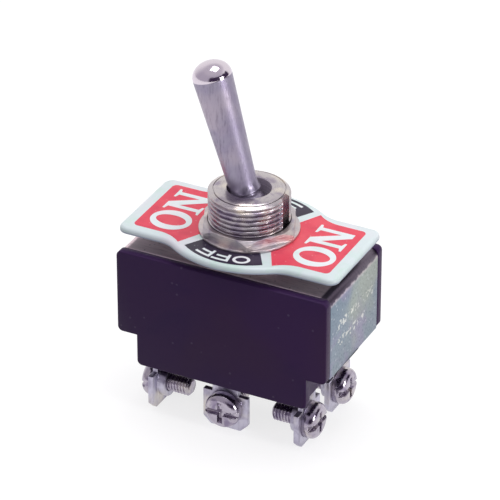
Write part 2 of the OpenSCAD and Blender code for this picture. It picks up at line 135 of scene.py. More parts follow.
# Printed fields, in millimetres from the middle of the print
PRINT_AT = np.array([0.05, 0.0])
FIELD_INNER = 6.7
FIELD_END = 15.5
FIELD_SIDE = 6.45
FIELD_CORNER = 0.75
FIELD_HOLLOW = 5.5
FIELD_BEND_X = 11.2
FIELD_HALF_ANGLE = 37.0
ARC_OUTER = 10.35
ARC_OUTER_HALF = 36.6
ARC_INNER_HALF = 39.2

# Lettering, in millimetres and degrees. ON: middle of each O with the feet of
# its N. OFF: bent round the bushing, from the angles where its letters start
ON_PLACES = ((11.75, 14.45), (-11.1, -8.3))
ON_O_Y = -2.95
ON_N_Y = -0.15
OFF_RADIUS = 7.95
OFF_HEIGHT = 1.88
OFF_STROKE = 0.4
OFF_F_WIDTH = 2.45
OFF_O_HALF = 1.27
OFF_O_START = -62.8
OFF_F_STARTS = (-82.0, -99.4)

# Springs: turns of each coil and the share of them that lies closed at an end
COIL_TURNS = 7.5
COIL_CLOSED = 0.1


def cad_box(node):
    """Lowest and highest corner of a CAD node, in millimetres, as arrays."""
    low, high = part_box(node)
    return np.array(low) / MM, np.array(high) / MM


def joint(name):
    """The CAD joint of that name."""
    return next(j for j in frame["joints"] if j["name"] == name)


def body_of(node):
    """The name of the body that carries a CAD node."""
    return frame["nodes"][node]["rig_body"]


def shade(code):
    """Linear colour, as four numbers, from a hexadecimal screen colour."""
    values = [int(code[i : i + 2], 16) / 255 for i in (1, 3, 5)]
    return tuple(
        v / 12.92 if v <= 0.04045 else ((v + 0.055) / 1.055) ** 2.4 for v in values
    ) + (1.0,)


# ---------------------------------------------------------------- settings


def length(label, told, default, low, high, precision=5):
    """A length property, in metres, with a label and a description."""
    return bpy.props.FloatProperty(
        name=label,
        description=told,
        default=default,
        min=low,
        max=high,
        precision=precision,
        unit="LENGTH",
    )


class SwitchSizes(bpy.types.PropertyGroup):
    """Sizes of the dressed switch that the CAD model leaves plain."""

    thread_pitch: length(
        "Bushing thread pitch",
        "Distance from one ridge of the bushing's thread to the next",
        0.00075,
        0.0004,
        0.0015,
    )
    thread_depth: length(
        "Bushing thread depth",
        "Depth of the bushing's thread below its ridges",
        0.00042,
        0.0001,
        0.0008,
    )
    screw_pitch: length(
        "Screw thread pitch",
        "Distance from one ridge of a terminal screw's thread to the next",
        0.0005,
        0.0003,
        0.001,
    )
    edge_round: length(
        "Edge rounding",
        "Width of the rounding on the moulding's edges; the folded cover has half",
        0.00016,
        0.0,
        0.0005,
    )
    coil_wire: length(
        "Spring wire", "Diameter of the wire of the two contact springs", 0.0003, 0.0001, 0.0005
    )
    print_height: length(
        "Print height",
        "Height of each layer of paint on the legend plate",
        0.00002,
        0.00001,
        0.0001,
        6,
    )


def colour(label, told, code):
    """A colour property with a label, a description and a default."""
    return bpy.props.FloatVectorProperty(
        name=label, description=told, default=shade(code), size=4, min=0.0, max=1.0, subtype="COLOR"
    )


class SwitchColours(bpy.types.PropertyGroup):
    """Colours of the dressed switch's materials."""

    moulding: colour("Moulding", "Colour of the moulded body", "#39224a")
    zinc: colour("Cover sheet", "Colour of the zinc-plated cover", "#7c8c9b")
    nickel: colour("Nickel", "Colour of the bushing, nuts and washers", "#c2bbbe")
    lever: colour("Lever", "Colour of the satin lever", "#9891a4")
    plate: colour("Legend plate", "Ground colour of the legend plate", "#dae8e8")
    red: colour("Red print", "Colour of the two red fields", "#e8465c")
    black: colour("Black print", "Colour of the two black arcs", "#2c2238")
    letters: colour("Lettering", "Colour of the lettering", "#eaf4f4")


# ------------------------------------------------------------- mesh making


def around(radius, angles):
    """Points (x, y) at those angles and that distance from the axis, which is
    one number or one for each angle."""
    flat = np.column_stack([np.cos(angles), np.sin(angles)])
    return np.reshape(radius, (-1, 1)) * flat


def raised(flat, height):
    """Points (x, y, z) of flat points at one height, or one for each."""
    return np.column_stack([flat, np.broadcast_to(height, len(flat))])


def grid_faces(rows, columns, wrap_rows, wrap_columns):
    """Four-cornered faces of a grid of points counted row by row: each face
    joins a point, its neighbour in the row and the two in the next row."""
    r = np.arange(rows if wrap_rows else rows - 1)
    c = np.arange(columns if wrap_columns else columns - 1)
    rr, cc = np.meshgrid(r, c, indexing="ij")
    r2 = (rr + 1) % rows
    c2 = (cc + 1) % columns
    corners = (rr, cc), (rr, c2), (r2, c2), (r2, cc)
    return np.stack([a * columns + b for a, b in corners], axis=-1).reshape(-1, 4)


def ring_shell(points):
    """Points and faces of a closed ring: a closed profile (second index)
    carried round a closed path (first index)."""
    rows, columns, _ = points.shape
    return points.reshape(-1, 3), grid_faces(rows, columns, True, True).tolist()


def tube_shell(points):
    """Points and faces of a closed tube: closed loops (second index) one after
    another along a path (first index), with a flat face over each end."""
    rows, columns, _ = points.shape
    faces = grid_faces(rows, columns, False, True).tolist()
    faces.append(list(range(columns)))
    faces.append(list(range((rows - 1) * columns, rows * columns)))
    return points.reshape(-1, 3), faces


def spun_shell(profile, angles):
    """Points and faces of a profile of (radius, height) spun about Z, with its
    first and last points on the axis: x = r cos a, y = r sin a, z = h."""
    inner = profile[1:-1]
    r, h = inner[:, 0][:, None], inner[:, 1][:, None]
    body = np.stack([r * np.cos(angles), r * np.sin(angles), h + 0 * angles], axis=-1)
    rows, columns, _ = body.shape
    points = np.vstack([body.reshape(-1, 3), [[0, 0, profile[0, 1]], [0, 0, profile[-1, 1]]]])
    faces = grid_faces(rows, columns, False, True).tolist()
    first, last = rows * columns, rows * columns + 1
    top = (rows - 1) * columns
    step = np.arange(columns)
    after = (step + 1) % columns
    faces += np.stack([np.full(columns, first), after, step], axis=-1).tolist()
    faces += np.stack([np.full(columns, last), top + step, top + after], axis=-1).tolist()
    return points, faces


def slab_shell(outline, low, high):
    """Points and faces of a flat outline raised from one height to another."""
    return tube_shell(np.stack([raised(outline, low), raised(outline, high)]))


def cells_shell(us, vs, filled, low, high, laid):
    """Points and faces of a raised figure made of cells of a grid: top and
    bottom faces over the filled cells and walls where a filled cell borders an
    empty one. laid puts grid points (u, v) in their place."""
    u, v = np.meshgrid(us, vs, indexing="ij")
    flat = laid(np.column_stack([u.ravel(), v.ravel()]))
    n, columns = len(flat), len(vs)
    points = np.vstack([raised(flat, low), raised(flat, high)])
    cells = np.pad(np.asarray(filled, bool), 1)
    i, j = np.nonzero(cells[1:-1, 1:-1])
    at = i * columns + j
    corner = {"00": at, "10": at + columns, "11": at + columns + 1, "01": at + 1}
    faces = [
        np.stack([corner[k] for k in ("00", "10", "11", "01")], axis=-1),
        np.stack([corner[k] + n for k in ("00", "10", "11", "01")], axis=-1),
    ]
    for di, dj, a, b in (
        (-1, 0, "00", "01"),
        (1, 0, "10", "11"),
        (0, -1, "00", "10"),
        (0, 1, "01", "11"),
    ):
        edge = ~cells[i + 1 + di, j + 1 + dj]
        a, b = corner[a][edge], corner[b][edge]
        faces.append(np.stack([a, b, b + n, a + n], axis=-1))
    faces = np.vstack(faces)
    used, moved = np.unique(faces, return_inverse=True)
    return points[used], moved.reshape(-1, 4).tolist()


def band_shell(inner, outer, low, high, closed):
    """Points and faces of a thin band between two lines of equal count: its
    section has four corners, inner low, outer low, outer high and inner high."""
    corners = (inner, low), (outer, low), (outer, high), (inner, high)
    points = np.stack([raised(line, z) for line, z in corners], axis=1)
    return ring_shell(points) if closed else tube_shell(points)


def put(name, shells, material, body, nodes=(), crease=38):
    """Makes one piece from shells of points in millimetres and faces, smooth
    but for edges sharper than crease degrees, and hands it to the frame."""
    points, faces, start = [], [], 0
    for p, f in shells:
        points.append(np.asarray(p, float))
        faces.extend([[i + start for i in face] for face in f])
        start += len(p)
    mesh = bpy.data.meshes.new(name)
    mesh.from_pydata((np.vstack(points) * MM).tolist(), [], faces)
    bm = bmesh.new()
    bm.from_mesh(mesh)
    bmesh.ops.recalc_face_normals(bm, faces=bm.faces[:])
    bm.to_mesh(mesh)
    bm.free()
    return hand_over(name, mesh, material, body, nodes, crease)


def hand_over(name, mesh, material, body, nodes, crease):
    """Links a finished mesh as a piece on its body, in place of CAD nodes."""
    if not mesh.polygons:
        raise RuntimeError(f"{name} has no faces")
    mesh.polygons.foreach_set("use_smooth", np.ones(len(mesh.polygons), bool))
    mesh.set_sharp_from_angle(angle=math.radians(crease))
    mesh.materials.append(material)
    piece = bpy.data.objects.new(name, mesh)
    bpy.context.scene.collection.objects.link(piece)
    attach(piece, body)
    if nodes:
        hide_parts(*nodes)
    return piece


def merged(node, drop=None):
    """A merged copy of a CAD node's mesh, its flat faces made whole. Points
    that drop picks out are removed and the opening is closed flat."""
    bm = bmesh.new()
    bm.from_mesh(frame["nodes"][node].data)
    bmesh.ops.remove_doubles(bm, verts=bm.verts[:], dist=1e-6)
    if drop is not None:
        lost = [v for v in bm.verts if drop(v.co)]
        bmesh.ops.delete(bm, geom=lost, context="VERTS")
        rim = [e for e in bm.edges if e.is_boundary]
        bmesh.ops.holes_fill(bm, edges=rim, sides=0)
    bmesh.ops.dissolve_limit(
        bm, angle_limit=math.radians(0.4), verts=bm.verts[:], edges=bm.edges[:]
    )
    bmesh.ops.recalc_face_normals(bm, faces=bm.faces[:])
    return bm


def softened(node, name, material, width, crease=38, drop=None):
    """Replaces a CAD node with a merged copy whose edges are rounded."""
    bm = merged(node, drop)
    mesh = bpy.data.meshes.new(name)
    bm.to_mesh(mesh)
    bm.free()
    piece = hand_over(name, mesh, material, body_of(node), (node,), 180)
    soften = piece.modifiers.new("Rounded edges", "BEVEL")
    soften.width = width
    soften.segments = 2
    soften.limit_method = "ANGLE"
    soften.angle_limit = math.radians(crease)
    soften.use_clamp_overlap = False
    soften.harden_normals = True
    return piece


# ---------------------------------------------------------------- materials


def feed(tree, made, inputs):
    """Sets a node's sockets. inputs maps a socket's name or number to a value,
    or to the output socket that feeds it."""
    for key, value in inputs.items():
        if isinstance(value, bpy.types.NodeSocket):
            tree.links.new(value, made.inputs[key])
        else:
            made.inputs[key].default_value = value
    return made


def add(tree, kind, inputs=None, **settings):
    """Adds one node with its settings and its sockets."""
    made = tree.nodes.new(kind)
    for key, value in settings.items():
        setattr(made, key, value)
    return feed(tree, made, inputs or {})


def maths(tree, operation, a, b=0.0):
    """Output of a Math node."""
    return add(tree, "ShaderNodeMath", {0: a, 1: b}, operation=operation).outputs[0]


def times(tree, a, b):
    """Output of a product of two numbers."""
    return maths(tree, "MULTIPLY", a, b)


def vectors(tree, operation, a, b=(0.0, 0.0, 0.0)):
    """A Vector Math node."""
    return add(tree, "ShaderNodeVectorMath", {0: a, 1: b}, operation=operation)


def axes(tree, place):
    """The x, y and z outputs of a place."""
    return add(tree, "ShaderNodeSeparateXYZ", {0: place}).outputs


def from_axis(tree, place):
    """Distance from the Z axis: the length of the place without its height."""
    flat = vectors(tree, "MULTIPLY", place, (1.0, 1.0, 0.0))
    return vectors(tree, "LENGTH", flat.outputs[0]).outputs["Value"]


def noise(tree, place, scale, detail=2.0, distortion=0.0):
    """Output of a noise texture."""
    return add(
        tree,
        "ShaderNodeTexNoise",
        {"Vector": place, "Scale": scale, "Detail": detail, "Distortion": distortion},
    ).outputs[0]


def blend_colour(tree, share, a, b):
    """Output of a colour mix of a and b by share."""
    mixed = add(tree, "ShaderNodeMix", {0: share, 6: a, 7: b}, data_type="RGBA")
    return mixed.outputs[2]


def spread(tree, value, low, high, to_low=0.0, to_high=1.0):
    """Output of a smooth Map Range node."""
    made = add(
        tree,
        "ShaderNodeMapRange",
        {0: value, 1: low, 2: high, 3: to_low, 4: to_high},
        interpolation_type="SMOOTHSTEP",
    )
    return made.outputs[0]


def new_group(name, inputs, outputs):
    """A shader node group with named sockets. inputs is a list of (name, kind,
    default), outputs of (name, kind)."""
    tree = bpy.data.node_groups.new(name, "ShaderNodeTree")
    for label, kind, default in inputs:
        made = tree.interface.new_socket(label, in_out="INPUT", socket_type=kind)
        if default is not None:
            made.default_value = default
    for label, kind in outputs:
        tree.interface.new_socket(label, in_out="OUTPUT", socket_type=kind)
    return tree, add(tree, "NodeGroupInput"), add(tree, "NodeGroupOutput")


FLOAT = "NodeSocketFloat"
VECTOR = "NodeSocketVector"
COLOUR = "NodeSocketColor"


def grain_group():
    """Fine grain: two sizes of noise, added, as a height and as a mask."""
    tree, here, out = new_group(
        "Grain",
        [("Place", VECTOR, None), ("Scale", FLOAT, 3000.0), ("Contrast", FLOAT, 0.5)],
        [("Height", FLOAT), ("Mask", FLOAT)],
    )
    place, scale, contrast = here.outputs[:3]
    fine = noise(tree, place, times(tree, scale, 3.7))
    height = maths(tree, "ADD", noise(tree, place, scale, 3.0), times(tree, fine, 0.5))
    low = maths(tree, "SUBTRACT", 0.95, times(tree, contrast, 0.4))
    tree.links.new(height, out.inputs[0])
    tree.links.new(spread(tree, height, low, 1.05), out.inputs[1])
    return tree


def wear_group():
    """Wear: a narrow strip along the edges, where the rounded normal turns
    away from the true one, broken up by noise."""
    tree, here, out = new_group(
        "Edge wear",
        [("Place", VECTOR, None), ("Scale", FLOAT, 900.0), ("Amount", FLOAT, 0.6)],
        [("Mask", FLOAT)],
    )
    place, scale, amount = here.outputs[:3]
    rounded = add(tree, "ShaderNodeBevel", {"Radius": 0.00014}, samples=4)
    surface = add(tree, "ShaderNodeNewGeometry").outputs["Normal"]
    agree = vectors(tree, "DOT_PRODUCT", rounded.outputs[0], surface)
    edge = spread(tree, agree.outputs["Value"], 0.8, 0.985, 1.0, 0.0)
    patchy = spread(tree, noise(tree, place, scale, 4.0), 0.35, 0.62)
    tree.links.new(times(tree, times(tree, edge, patchy), amount), out.inputs[0])
    return tree


def tarnish_group():
    """Tarnish: a slow drift between three colours."""
    tree, here, out = new_group(
        "Tarnish",
        [
            ("Place", VECTOR, None),
            ("Scale", FLOAT, 200.0),
            ("Base", COLOUR, None),
            ("Cool", COLOUR, None),
            ("Warm", COLOUR, None),
        ],
        [("Color", COLOUR)],
    )
    place, scale, base, cool, warm = here.outputs[:5]
    one = noise(tree, place, scale, 3.0, 0.6)
    moved = vectors(tree, "ADD", place, (0.031, 0.017, 0.023)).outputs[0]
    two = noise(tree, moved, times(tree, scale, 0.6))
    first = blend_colour(tree, spread(tree, one, 0.45, 0.68), base, cool)
    second = blend_colour(tree, spread(tree, two, 0.48, 0.7), first, warm)
    tree.links.new(second, out.inputs[0])
    return tree


def specks_group():
    """Specks: small scattered dots, a share of the cells of a cell pattern."""
    tree, here, out = new_group(
        "Specks",
        [("Place", VECTOR, None), ("Scale", FLOAT, 1200.0), ("Share", FLOAT, 0.3)],
        [("Mask", FLOAT)],
    )
    place, scale, share = here.outputs[:3]
    cells = add(tree, "ShaderNodeTexVoronoi", {"Vector": place, "Scale": scale, "Randomness": 1.0})
    near = spread(tree, cells.outputs["Distance"], 0.12, 0.34, 1.0, 0.0)
    channel = add(tree, "ShaderNodeSeparateColor", {0: cells.outputs["Color"]})
    chosen = maths(tree, "LESS_THAN", channel.outputs[0], share)
    tree.links.new(times(tree, near, chosen), out.inputs[0])
    return tree


GROUPS = {}


def use(tree, name, inputs):
    """Places a shared group in a material, built the first time."""
    makers = {
        "Grain": grain_group,
        "Edge wear": wear_group,
        "Tarnish": tarnish_group,
        "Specks": specks_group,
    }
    if name not in GROUPS:
        GROUPS[name] = makers[name]()
    made = tree.nodes.new("ShaderNodeGroup")
    made.node_tree = GROUPS[name]
    return feed(tree, made, inputs)


def tarnished(tree, place, scale, base, cool, warm):
    """Colour that drifts from a base to a cool and a warm tone."""
    told = {"Place": place, "Scale": scale, "Base": base, "Cool": cool, "Warm": warm}
    return use(tree, "Tarnish", told).outputs[0]


def worn(tree, place, scale, amount):
    """Mask of rubbed edges."""
    told = {"Place": place, "Scale": scale, "Amount": amount}
    return use(tree, "Edge wear", told).outputs[0]


def specks(tree, place, scale, share, strength):
    """Mask of scattered dots of that strength."""
    told = {"Place": place, "Scale": scale, "Share": share}
    return times(tree, use(tree, "Specks", told).outputs[0], strength)


def grained(tree, shader, place, scale, contrast, rough, drift, depth, strength=1.0):
    """Gives the shader a fine grain that moves its roughness by drift and
    bumps its surface by depth, in metres. Returns the grain's mask."""
    told = {"Place": place, "Scale": scale, "Contrast": contrast}
    grain = use(tree, "Grain", told)
    uneven = maths(tree, "ADD", times(tree, grain.outputs["Mask"], drift), rough)
    tree.links.new(uneven, shader.inputs["Roughness"])
    bumped(tree, shader, grain.outputs["Height"], depth, strength)
    return grain.outputs["Mask"]


def begin(name):
    """A new material's node tree with its shader and Object coordinates."""
    made = bpy.data.materials.new(name)
    made.use_nodes = True
    tree = made.node_tree
    tree.nodes.clear()
    shader = add(tree, "ShaderNodeBsdfPrincipled")
    add(tree, "ShaderNodeOutputMaterial", {"Surface": shader.outputs[0]})
    place = add(tree, "ShaderNodeTexCoord").outputs["Object"]
    return made, tree, shader, place


def bumped(tree, shader, height, depth, strength=1.0):
    """Gives the shader a bump of that depth, in metres, from a height."""
    bump = add(tree, "ShaderNodeBump", {"Strength": strength, "Distance": depth, "Height": height})
    tree.links.new(bump.outputs[0], shader.inputs["Normal"])


def stretched(tree, place, scale, turn=(0.0, 0.0, 0.0)):
    """Coordinates turned and stretched, for brushed or drawn surfaces."""
    made = add(tree, "ShaderNodeMapping", {"Vector": place, "Scale": scale, "Rotation": turn})
    return made.outputs[0]


def metal(name, base, cool, warm, rough, brushed=(1.0, 1.0, 1.0), turn=(0, 0, 0),
          scale=2500.0, depth=0.000004, patch=260.0, drift=0.16, polish_and_sheen=None, lathe=False):
    """Plated metal: tarnish in three colours, a brushed grain that moves its
    roughness and its surface, and paler worn edges. polish_and_sheen makes a
    mask of where it is smoother and painted paler, a painted sheen; lathe runs
    the grain round the axis and paints light and shade as on the bushing."""
    made, tree, shader, place = begin(name)
    shader.inputs["Metallic"].default_value = 1.0
    tone = tarnished(tree, place, patch, base, cool, warm)
    drawn = turned(tree, place) if lathe else stretched(tree, place, brushed, turn)
    grain = use(tree, "Grain", {"Place": drawn, "Scale": scale, "Contrast": 0.6})
    mask, height = grain.outputs["Mask"], grain.outputs["Height"]
    pale = blend_colour(tree, worn(tree, place, 1500.0, 0.5), tone, (0.86, 0.83, 0.82, 1.0))
    tone = blend_colour(tree, times(tree, mask, 0.18), pale, (0.1, 0.08, 0.12, 1))
    rough = maths(tree, "ADD", times(tree, mask, drift), rough)
    # painted sheen: the tip is painted a paler colour for its bright reflection; its lower
    # roughness is real polish
    if polish_and_sheen:
        bright = polish_and_sheen(tree, place)
        tone = blend_colour(tree, bright, tone, shade("#d9cfda"))
        dull = maths(tree, "SUBTRACT", 1.0, times(tree, bright, 0.7))
        rough = times(tree, rough, dull)
        height = times(tree, height, dull)
    if lathe:
        tone = bushing_painted_light_and_shade(tree, shader, place, tone)
    tree.links.new(tone, shader.inputs["Base Color"])
    tree.links.new(rough, shader.inputs["Roughness"])
    bumped(tree, shader, height, depth)
    return made


def bushing_painted_light_and_shade(tree, shader, place, tone):
    """Colour of the bushing with painted light inside its hole, which is painted
    pale and made less metallic so that it shows lit, and painted shade in the thread."""
    away = from_axis(tree, place)
    hole = HOLE_RADIUS * MM
    # painted light: the inside of the hole is painted pale and made less metallic so that it shows
    # lit
    inside = spread(tree, away, hole + 0.00002, hole + 0.00008, 1.0, 0.0)
    tone = blend_colour(tree, inside, tone, shade("#e0d8e0"))
    bare = maths(tree, "SUBTRACT", 1.0, times(tree, inside, 0.75))
    tree.links.new(bare, shader.inputs["Metallic"])
    top = cad_box("bushing")[1][2]
    rise = axes(tree, place)[2]
    # painted shade: the thread below the rim is painted darker
    below = spread(tree, rise, (top - 1.0) * MM, (top - 0.8) * MM, 0.3, 0.0)
    outer = spread(tree, away, 0.0052, 0.0053)
    return blend_colour(tree, times(tree, below, outer), tone, shade("#6f6378"))


def turned(tree, place):
    """Coordinates of distance from the axis, y and height, for turned
    surfaces: with little change along y, grain on them runs in rings."""
    _, y, z = axes(tree, place)[:3]
    made = add(
        tree, "ShaderNodeCombineXYZ", {0: from_axis(tree, place), 1: times(tree, y, 0.04), 2: z}
    )
    return made.outputs[0]


def lever_tip(tree, place):
    """Mask of the lever's domed tip, by distance up the lever."""
    t = math.radians(lever_tilt())
    along = vectors(tree, "DOT_PRODUCT", place, (-math.sin(t), 0.0, math.cos(t)))
    start = (pivot_height() * math.cos(t) + LEVER_LENGTH - TIP_DOME) * MM
    return spread(tree, along.outputs["Value"], start - 0.00005, start + 0.00005)


def material(key):
    """The material of that key, made once."""
    if key in bpy.data.materials:
        return bpy.data.materials[key]
    return MAKERS[key](key)


# Metals other than the lever's: base colour, as a setting's name or a code,
# cool and warm tones, roughness, and how else each differs from plain metal
METALS = {
    "Nickel plate": (
        "nickel", "#a59bab", "#dccfca", 0.36,
        dict(brushed=(0.25, 0.25, 2.0), scale=2600.0, depth=0.00004, patch=420.0),
    ),
    "Turned nickel": (
        "nickel", "#9d92a3", "#dbd2ca", 0.22,
        dict(scale=4200.0, depth=0.000006, patch=500.0, lathe=True),
    ),
    "Screw nickel": (
        "#b3abb9", "#8a7f97", "#cbc4c4", 0.16, dict(scale=3000.0, depth=0.000005, patch=600.0)
    ),
    "Terminal plate": (
        "#c0bccd", "#a29cb0", "#cfc8c4", 0.34,
        dict(brushed=(1.0, 1.0, 0.3), scale=2600.0, depth=0.000008, patch=420.0),
    ),
    "Drawn steel": ("#9a9a9e", "#85858c", "#a8a49e", 0.28, {}),
    "Copper": ("#b9774a", "#a0643f", "#c78a5c", 0.3, dict(brushed=(0.2, 1.0, 1.0))),
    "Silver": ("#cfcfcd", "#b9b9be", "#d8d2c6", 0.25, {}),
}


def listed_metal(key):
    """A metal of the table."""
    base, cool, warm, rough, more = METALS[key]
    paint = bpy.context.scene.switch_colours
    base = shade(base) if base.startswith("#") else tuple(getattr(paint, base))
    return metal(key, base, shade(cool), shade(warm), rough, **more)


def lever_metal(key):
    """Satin nickel of the lever, with grain drawn along its length and a
    smoother tip that is painted paler: a painted sheen.
    """
    base = tuple(bpy.context.scene.switch_colours.lever)
    return metal(
        key, base, shade("#938aa1"), shade("#a79dac"), 0.34,
        brushed=(1.0, 1.0, 0.12),
        turn=(0.0, math.radians(lever_tilt()), 0.0),
        scale=3600.0,
        depth=0.000016,
        patch=300.0,
        drift=0.28,
        # the tip is smoother and painted paler: a painted sheen
        polish_and_sheen=lever_tip,
    )


def zinc_sheet(key):
    """Zinc-plated sheet with the drifting blue, violet and green greys of its
    clear passivation, rolling streaks, bright and dull specks, two rows of
    stamped marks painted near white as glints, a top sheet painted paler as
    painted light, and painted shade along the bend."""
    base = tuple(bpy.context.scene.switch_colours.zinc)
    made, tree, shader, place = begin(key)
    shader.inputs["Metallic"].default_value = 1.0
    x, y, z = axes(tree, place)[:3]
    tone = tarnished(tree, place, 190.0, base, shade("#8d8aa6"), shade("#98a29b"))
    # painted light: the top sheet is painted paler and warmer than the ends, for the light it
    # reflects
    top = spread(tree, z, -0.0016, -0.0005)
    tone = blend_colour(tree, top, tone, shade("#e3cfd6"))
    rolled = stretched(tree, place, (0.12, 1.0, 1.0))
    mask = grained(tree, shader, rolled, 2600.0, 0.6, 0.34, 0.18, 0.00001)
    for share, code in (
        (times(tree, mask, 0.3), "#57525e"),
        (specks(tree, place, 1500.0, 0.16, 0.35), "#dfe3ea"),
        (specks(tree, place, 1900.0, 0.14, 0.5), "#55506a"),
        (worn(tree, place, 1200.0, 0.7), "#b9bda6"),
        # stamped marks painted near white: a painted glint
        (stamped_marks_and_glints(tree, place, x, y, z), "#f4f3ea"),
        # painted shade along the bend of the +X end
        (bend_painted_shade(tree, place, x, z), "#453d52"),
    ):
        tone = blend_colour(tree, share, tone, shade(code))
    tree.links.new(tone, shader.inputs["Base Color"])
    return made


def stamped_marks_and_glints(tree, place, x, y, z):
    """Mask of two rows of shallow stamped marks, too small to read, on the
    +X end, painted near white as glints. Each row has its middle, its level and half its length."""
    rows = None
    for middle, level, half in ((0.3, -5.65, 5.9), (-1.0, -8.5, 4.5)):
        off = maths(tree, "ABSOLUTE", maths(tree, "SUBTRACT", y, middle * MM))
        away = maths(tree, "ABSOLUTE", maths(tree, "SUBTRACT", z, level * MM))
        row = times(
            tree,
            spread(tree, off, (half - 0.1) * MM, half * MM, 1.0, 0.0),
            spread(tree, away, 0.0006, 0.0008, 1.0, 0.0),
        )
        rows = maths(tree, "MAXIMUM", rows, row) if rows else row
    on_end = times(tree, rows, spread(tree, x, 0.016, 0.0165))
    pattern = spread(tree, noise(tree, place, 1700.0, 1.0), 0.55, 0.6, 0.0, 0.6)
    return times(tree, pattern, on_end)


def bend_painted_shade(tree, place, x, z):
    """Mask of painted shade: a ragged dark band along the bend of the +X end."""
    edge = maths(tree, "ADD", z, times(tree, noise(tree, place, 900.0), 0.001))
    return times(
        tree, spread(tree, edge, -0.0007, -0.0003, 0.0, 0.9), spread(tree, x, 0.0149, 0.0153)
    )


def moulding(key):
    """Dark moulded plastic: faint flow mottling, fine texture, rubbed edges
    and a few pale specks of dust."""
    base = tuple(bpy.context.scene.switch_colours.moulding)
    made, tree, shader, place = begin(key)
    tone = tarnished(tree, place, 110.0, base, shade("#352049"), shade("#3b2547"))
    tone = blend_colour(tree, worn(tree, place, 700.0, 0.4), tone, shade("#54455f"))
    dust = specks(tree, place, 1300.0, 0.03, 0.16)
    tone = blend_colour(tree, dust, tone, shade("#8b8494"))
    tree.links.new(tone, shader.inputs["Base Color"])
    shader.inputs["Specular IOR Level"].default_value = 0.12
    grained(tree, shader, place, 1800.0, 0.5, 0.4, 0.16, 0.00001, 0.7)
    return made


def enamel(key):
    """Pale enamel of the legend plate, with cool cut edges, faint clouding
    and small chips along the rim."""
    base = tuple(bpy.context.scene.switch_colours.plate)
    made, tree, shader, place = begin(key)
    top = cad_box("legend_plate")[1][2]
    height = axes(tree, place)[2]
    side = spread(tree, height, (top - 0.78) * MM, (top - 0.5) * MM, 1.0, 0.0)
    tone = tarnished(tree, place, 260.0, base, shade("#cfe6de"), shade("#e3e6ea"))
    tone = blend_colour(tree, side, tone, shade("#b3bfcf"))
    tone = blend_colour(tree, worn(tree, place, 2100.0, 0.35), tone, shade("#8f97a4"))
    tree.links.new(tone, shader.inputs["Base Color"])
    grained(tree, shader, place, 1500.0, 0.4, 0.34, 0.12, 0.000006, 0.6)
    return made


def ink(key, base, cool, warm, rough):
    """Screen-printed paint: slight clouding, a fine uneven surface and pin
    holes that show paler."""
    made, tree, shader, place = begin(key)
    tone = tarnished(tree, place, 420.0, base, cool, warm)
    holes = specks(tree, place, 2300.0, 0.08, 0.25)
    tone = blend_colour(tree, holes, tone, shade("#d8dfe0"))
    tree.links.new(tone, shader.inputs["Base Color"])
    shader.inputs["Specular IOR Level"].default_value = 0.3
    grained(tree, shader, place, 2400.0, 0.5, rough, 0.14, 0.000008, 0.7)
    return made


def red_ink(key):
    """Red paint of the two on fields."""
    base = tuple(bpy.context.scene.switch_colours.red)
    return ink(key, base, shade("#df3f58"), shade("#ec5263"), 0.32)


def black_ink(key):
    """Black paint of the two off arcs."""
    base = tuple(bpy.context.scene.switch_colours.black)
    return ink(key, base, shade("#251d33"), shade("#352b42"), 0.3)


def white_ink(key):
    """White paint of the lettering."""
    base = tuple(bpy.context.scene.switch_colours.letters)
    return ink(key, base, shade("#dcefe9"), shade("#f1f3f5"), 0.34)


def nylon(key):
    """Natural nylon of the actuator and plungers."""
    made, tree, shader, place = begin(key)
    tone = tarnished(tree, place, 300.0, shade("#e2dcca"), shade("#d6d2c4"), shade("#e9dcc0"))
    tree.links.new(tone, shader.inputs["Base Color"])
    grained(tree, shader, place, 1600.0, 0.4, 0.4, 0.15, 0.000008)
    return made


def fibre(key):
    """Pressed fibre sheet, matt and flecked along its length."""
    made, tree, shader, place = begin(key)
    drawn = stretched(tree, place, (0.2, 1.0, 1.0))
    mask = grained(tree, shader, drawn, 2200.0, 0.9, 0.75, 0.1, 0.00002)
    tone = blend_colour(tree, mask, shade("#6b4a2f"), shade("#8d6b48"))
    tree.links.new(tone, shader.inputs["Base Color"])
    return made


MAKERS = {
    "Lever satin nickel": lever_metal,
    **dict.fromkeys(METALS, listed_metal),
    "Zinc sheet": zinc_sheet,
    "Moulded plastic": moulding,
    "Enamel": enamel,
    "Red print": red_ink,
    "Black print": black_ink,
    "White print": white_ink,
    "Nylon": nylon,
    "Fibre sheet": fibre,
}


# ------------------------------------------------------------------ shapes


def lever_tilt():
    """Degrees from upright at which the lever rests."""
    low, high = joint("lever_tilt")["range_deg"]
    return (high - low) / 2


def pivot_height():
    """Height of the lever's pivot above the cover, in millimetres."""
    return joint("lever_tilt")["pos_m"][2] / MM


def thrown(points):
    """Points given about the pivot with Z up the lever, tilted to its rest:
    x turns towards -z by the tilt, then everything rises to the pivot."""
    t = math.radians(lever_tilt())
    x, y, z = points[..., 0], points[..., 1], points[..., 2]
    return np.stack(
        [x * math.cos(t) - z * math.sin(t), y, x * math.sin(t) + z * math.cos(t) + pivot_height()],
        axis=-1,
    )


def rounding(centre, radius, start, end, count):
    """Points on an arc: centre + radius (cos a, sin a), a in degrees."""
    return centre + around(radius, np.radians(np.linspace(start, end, count)))


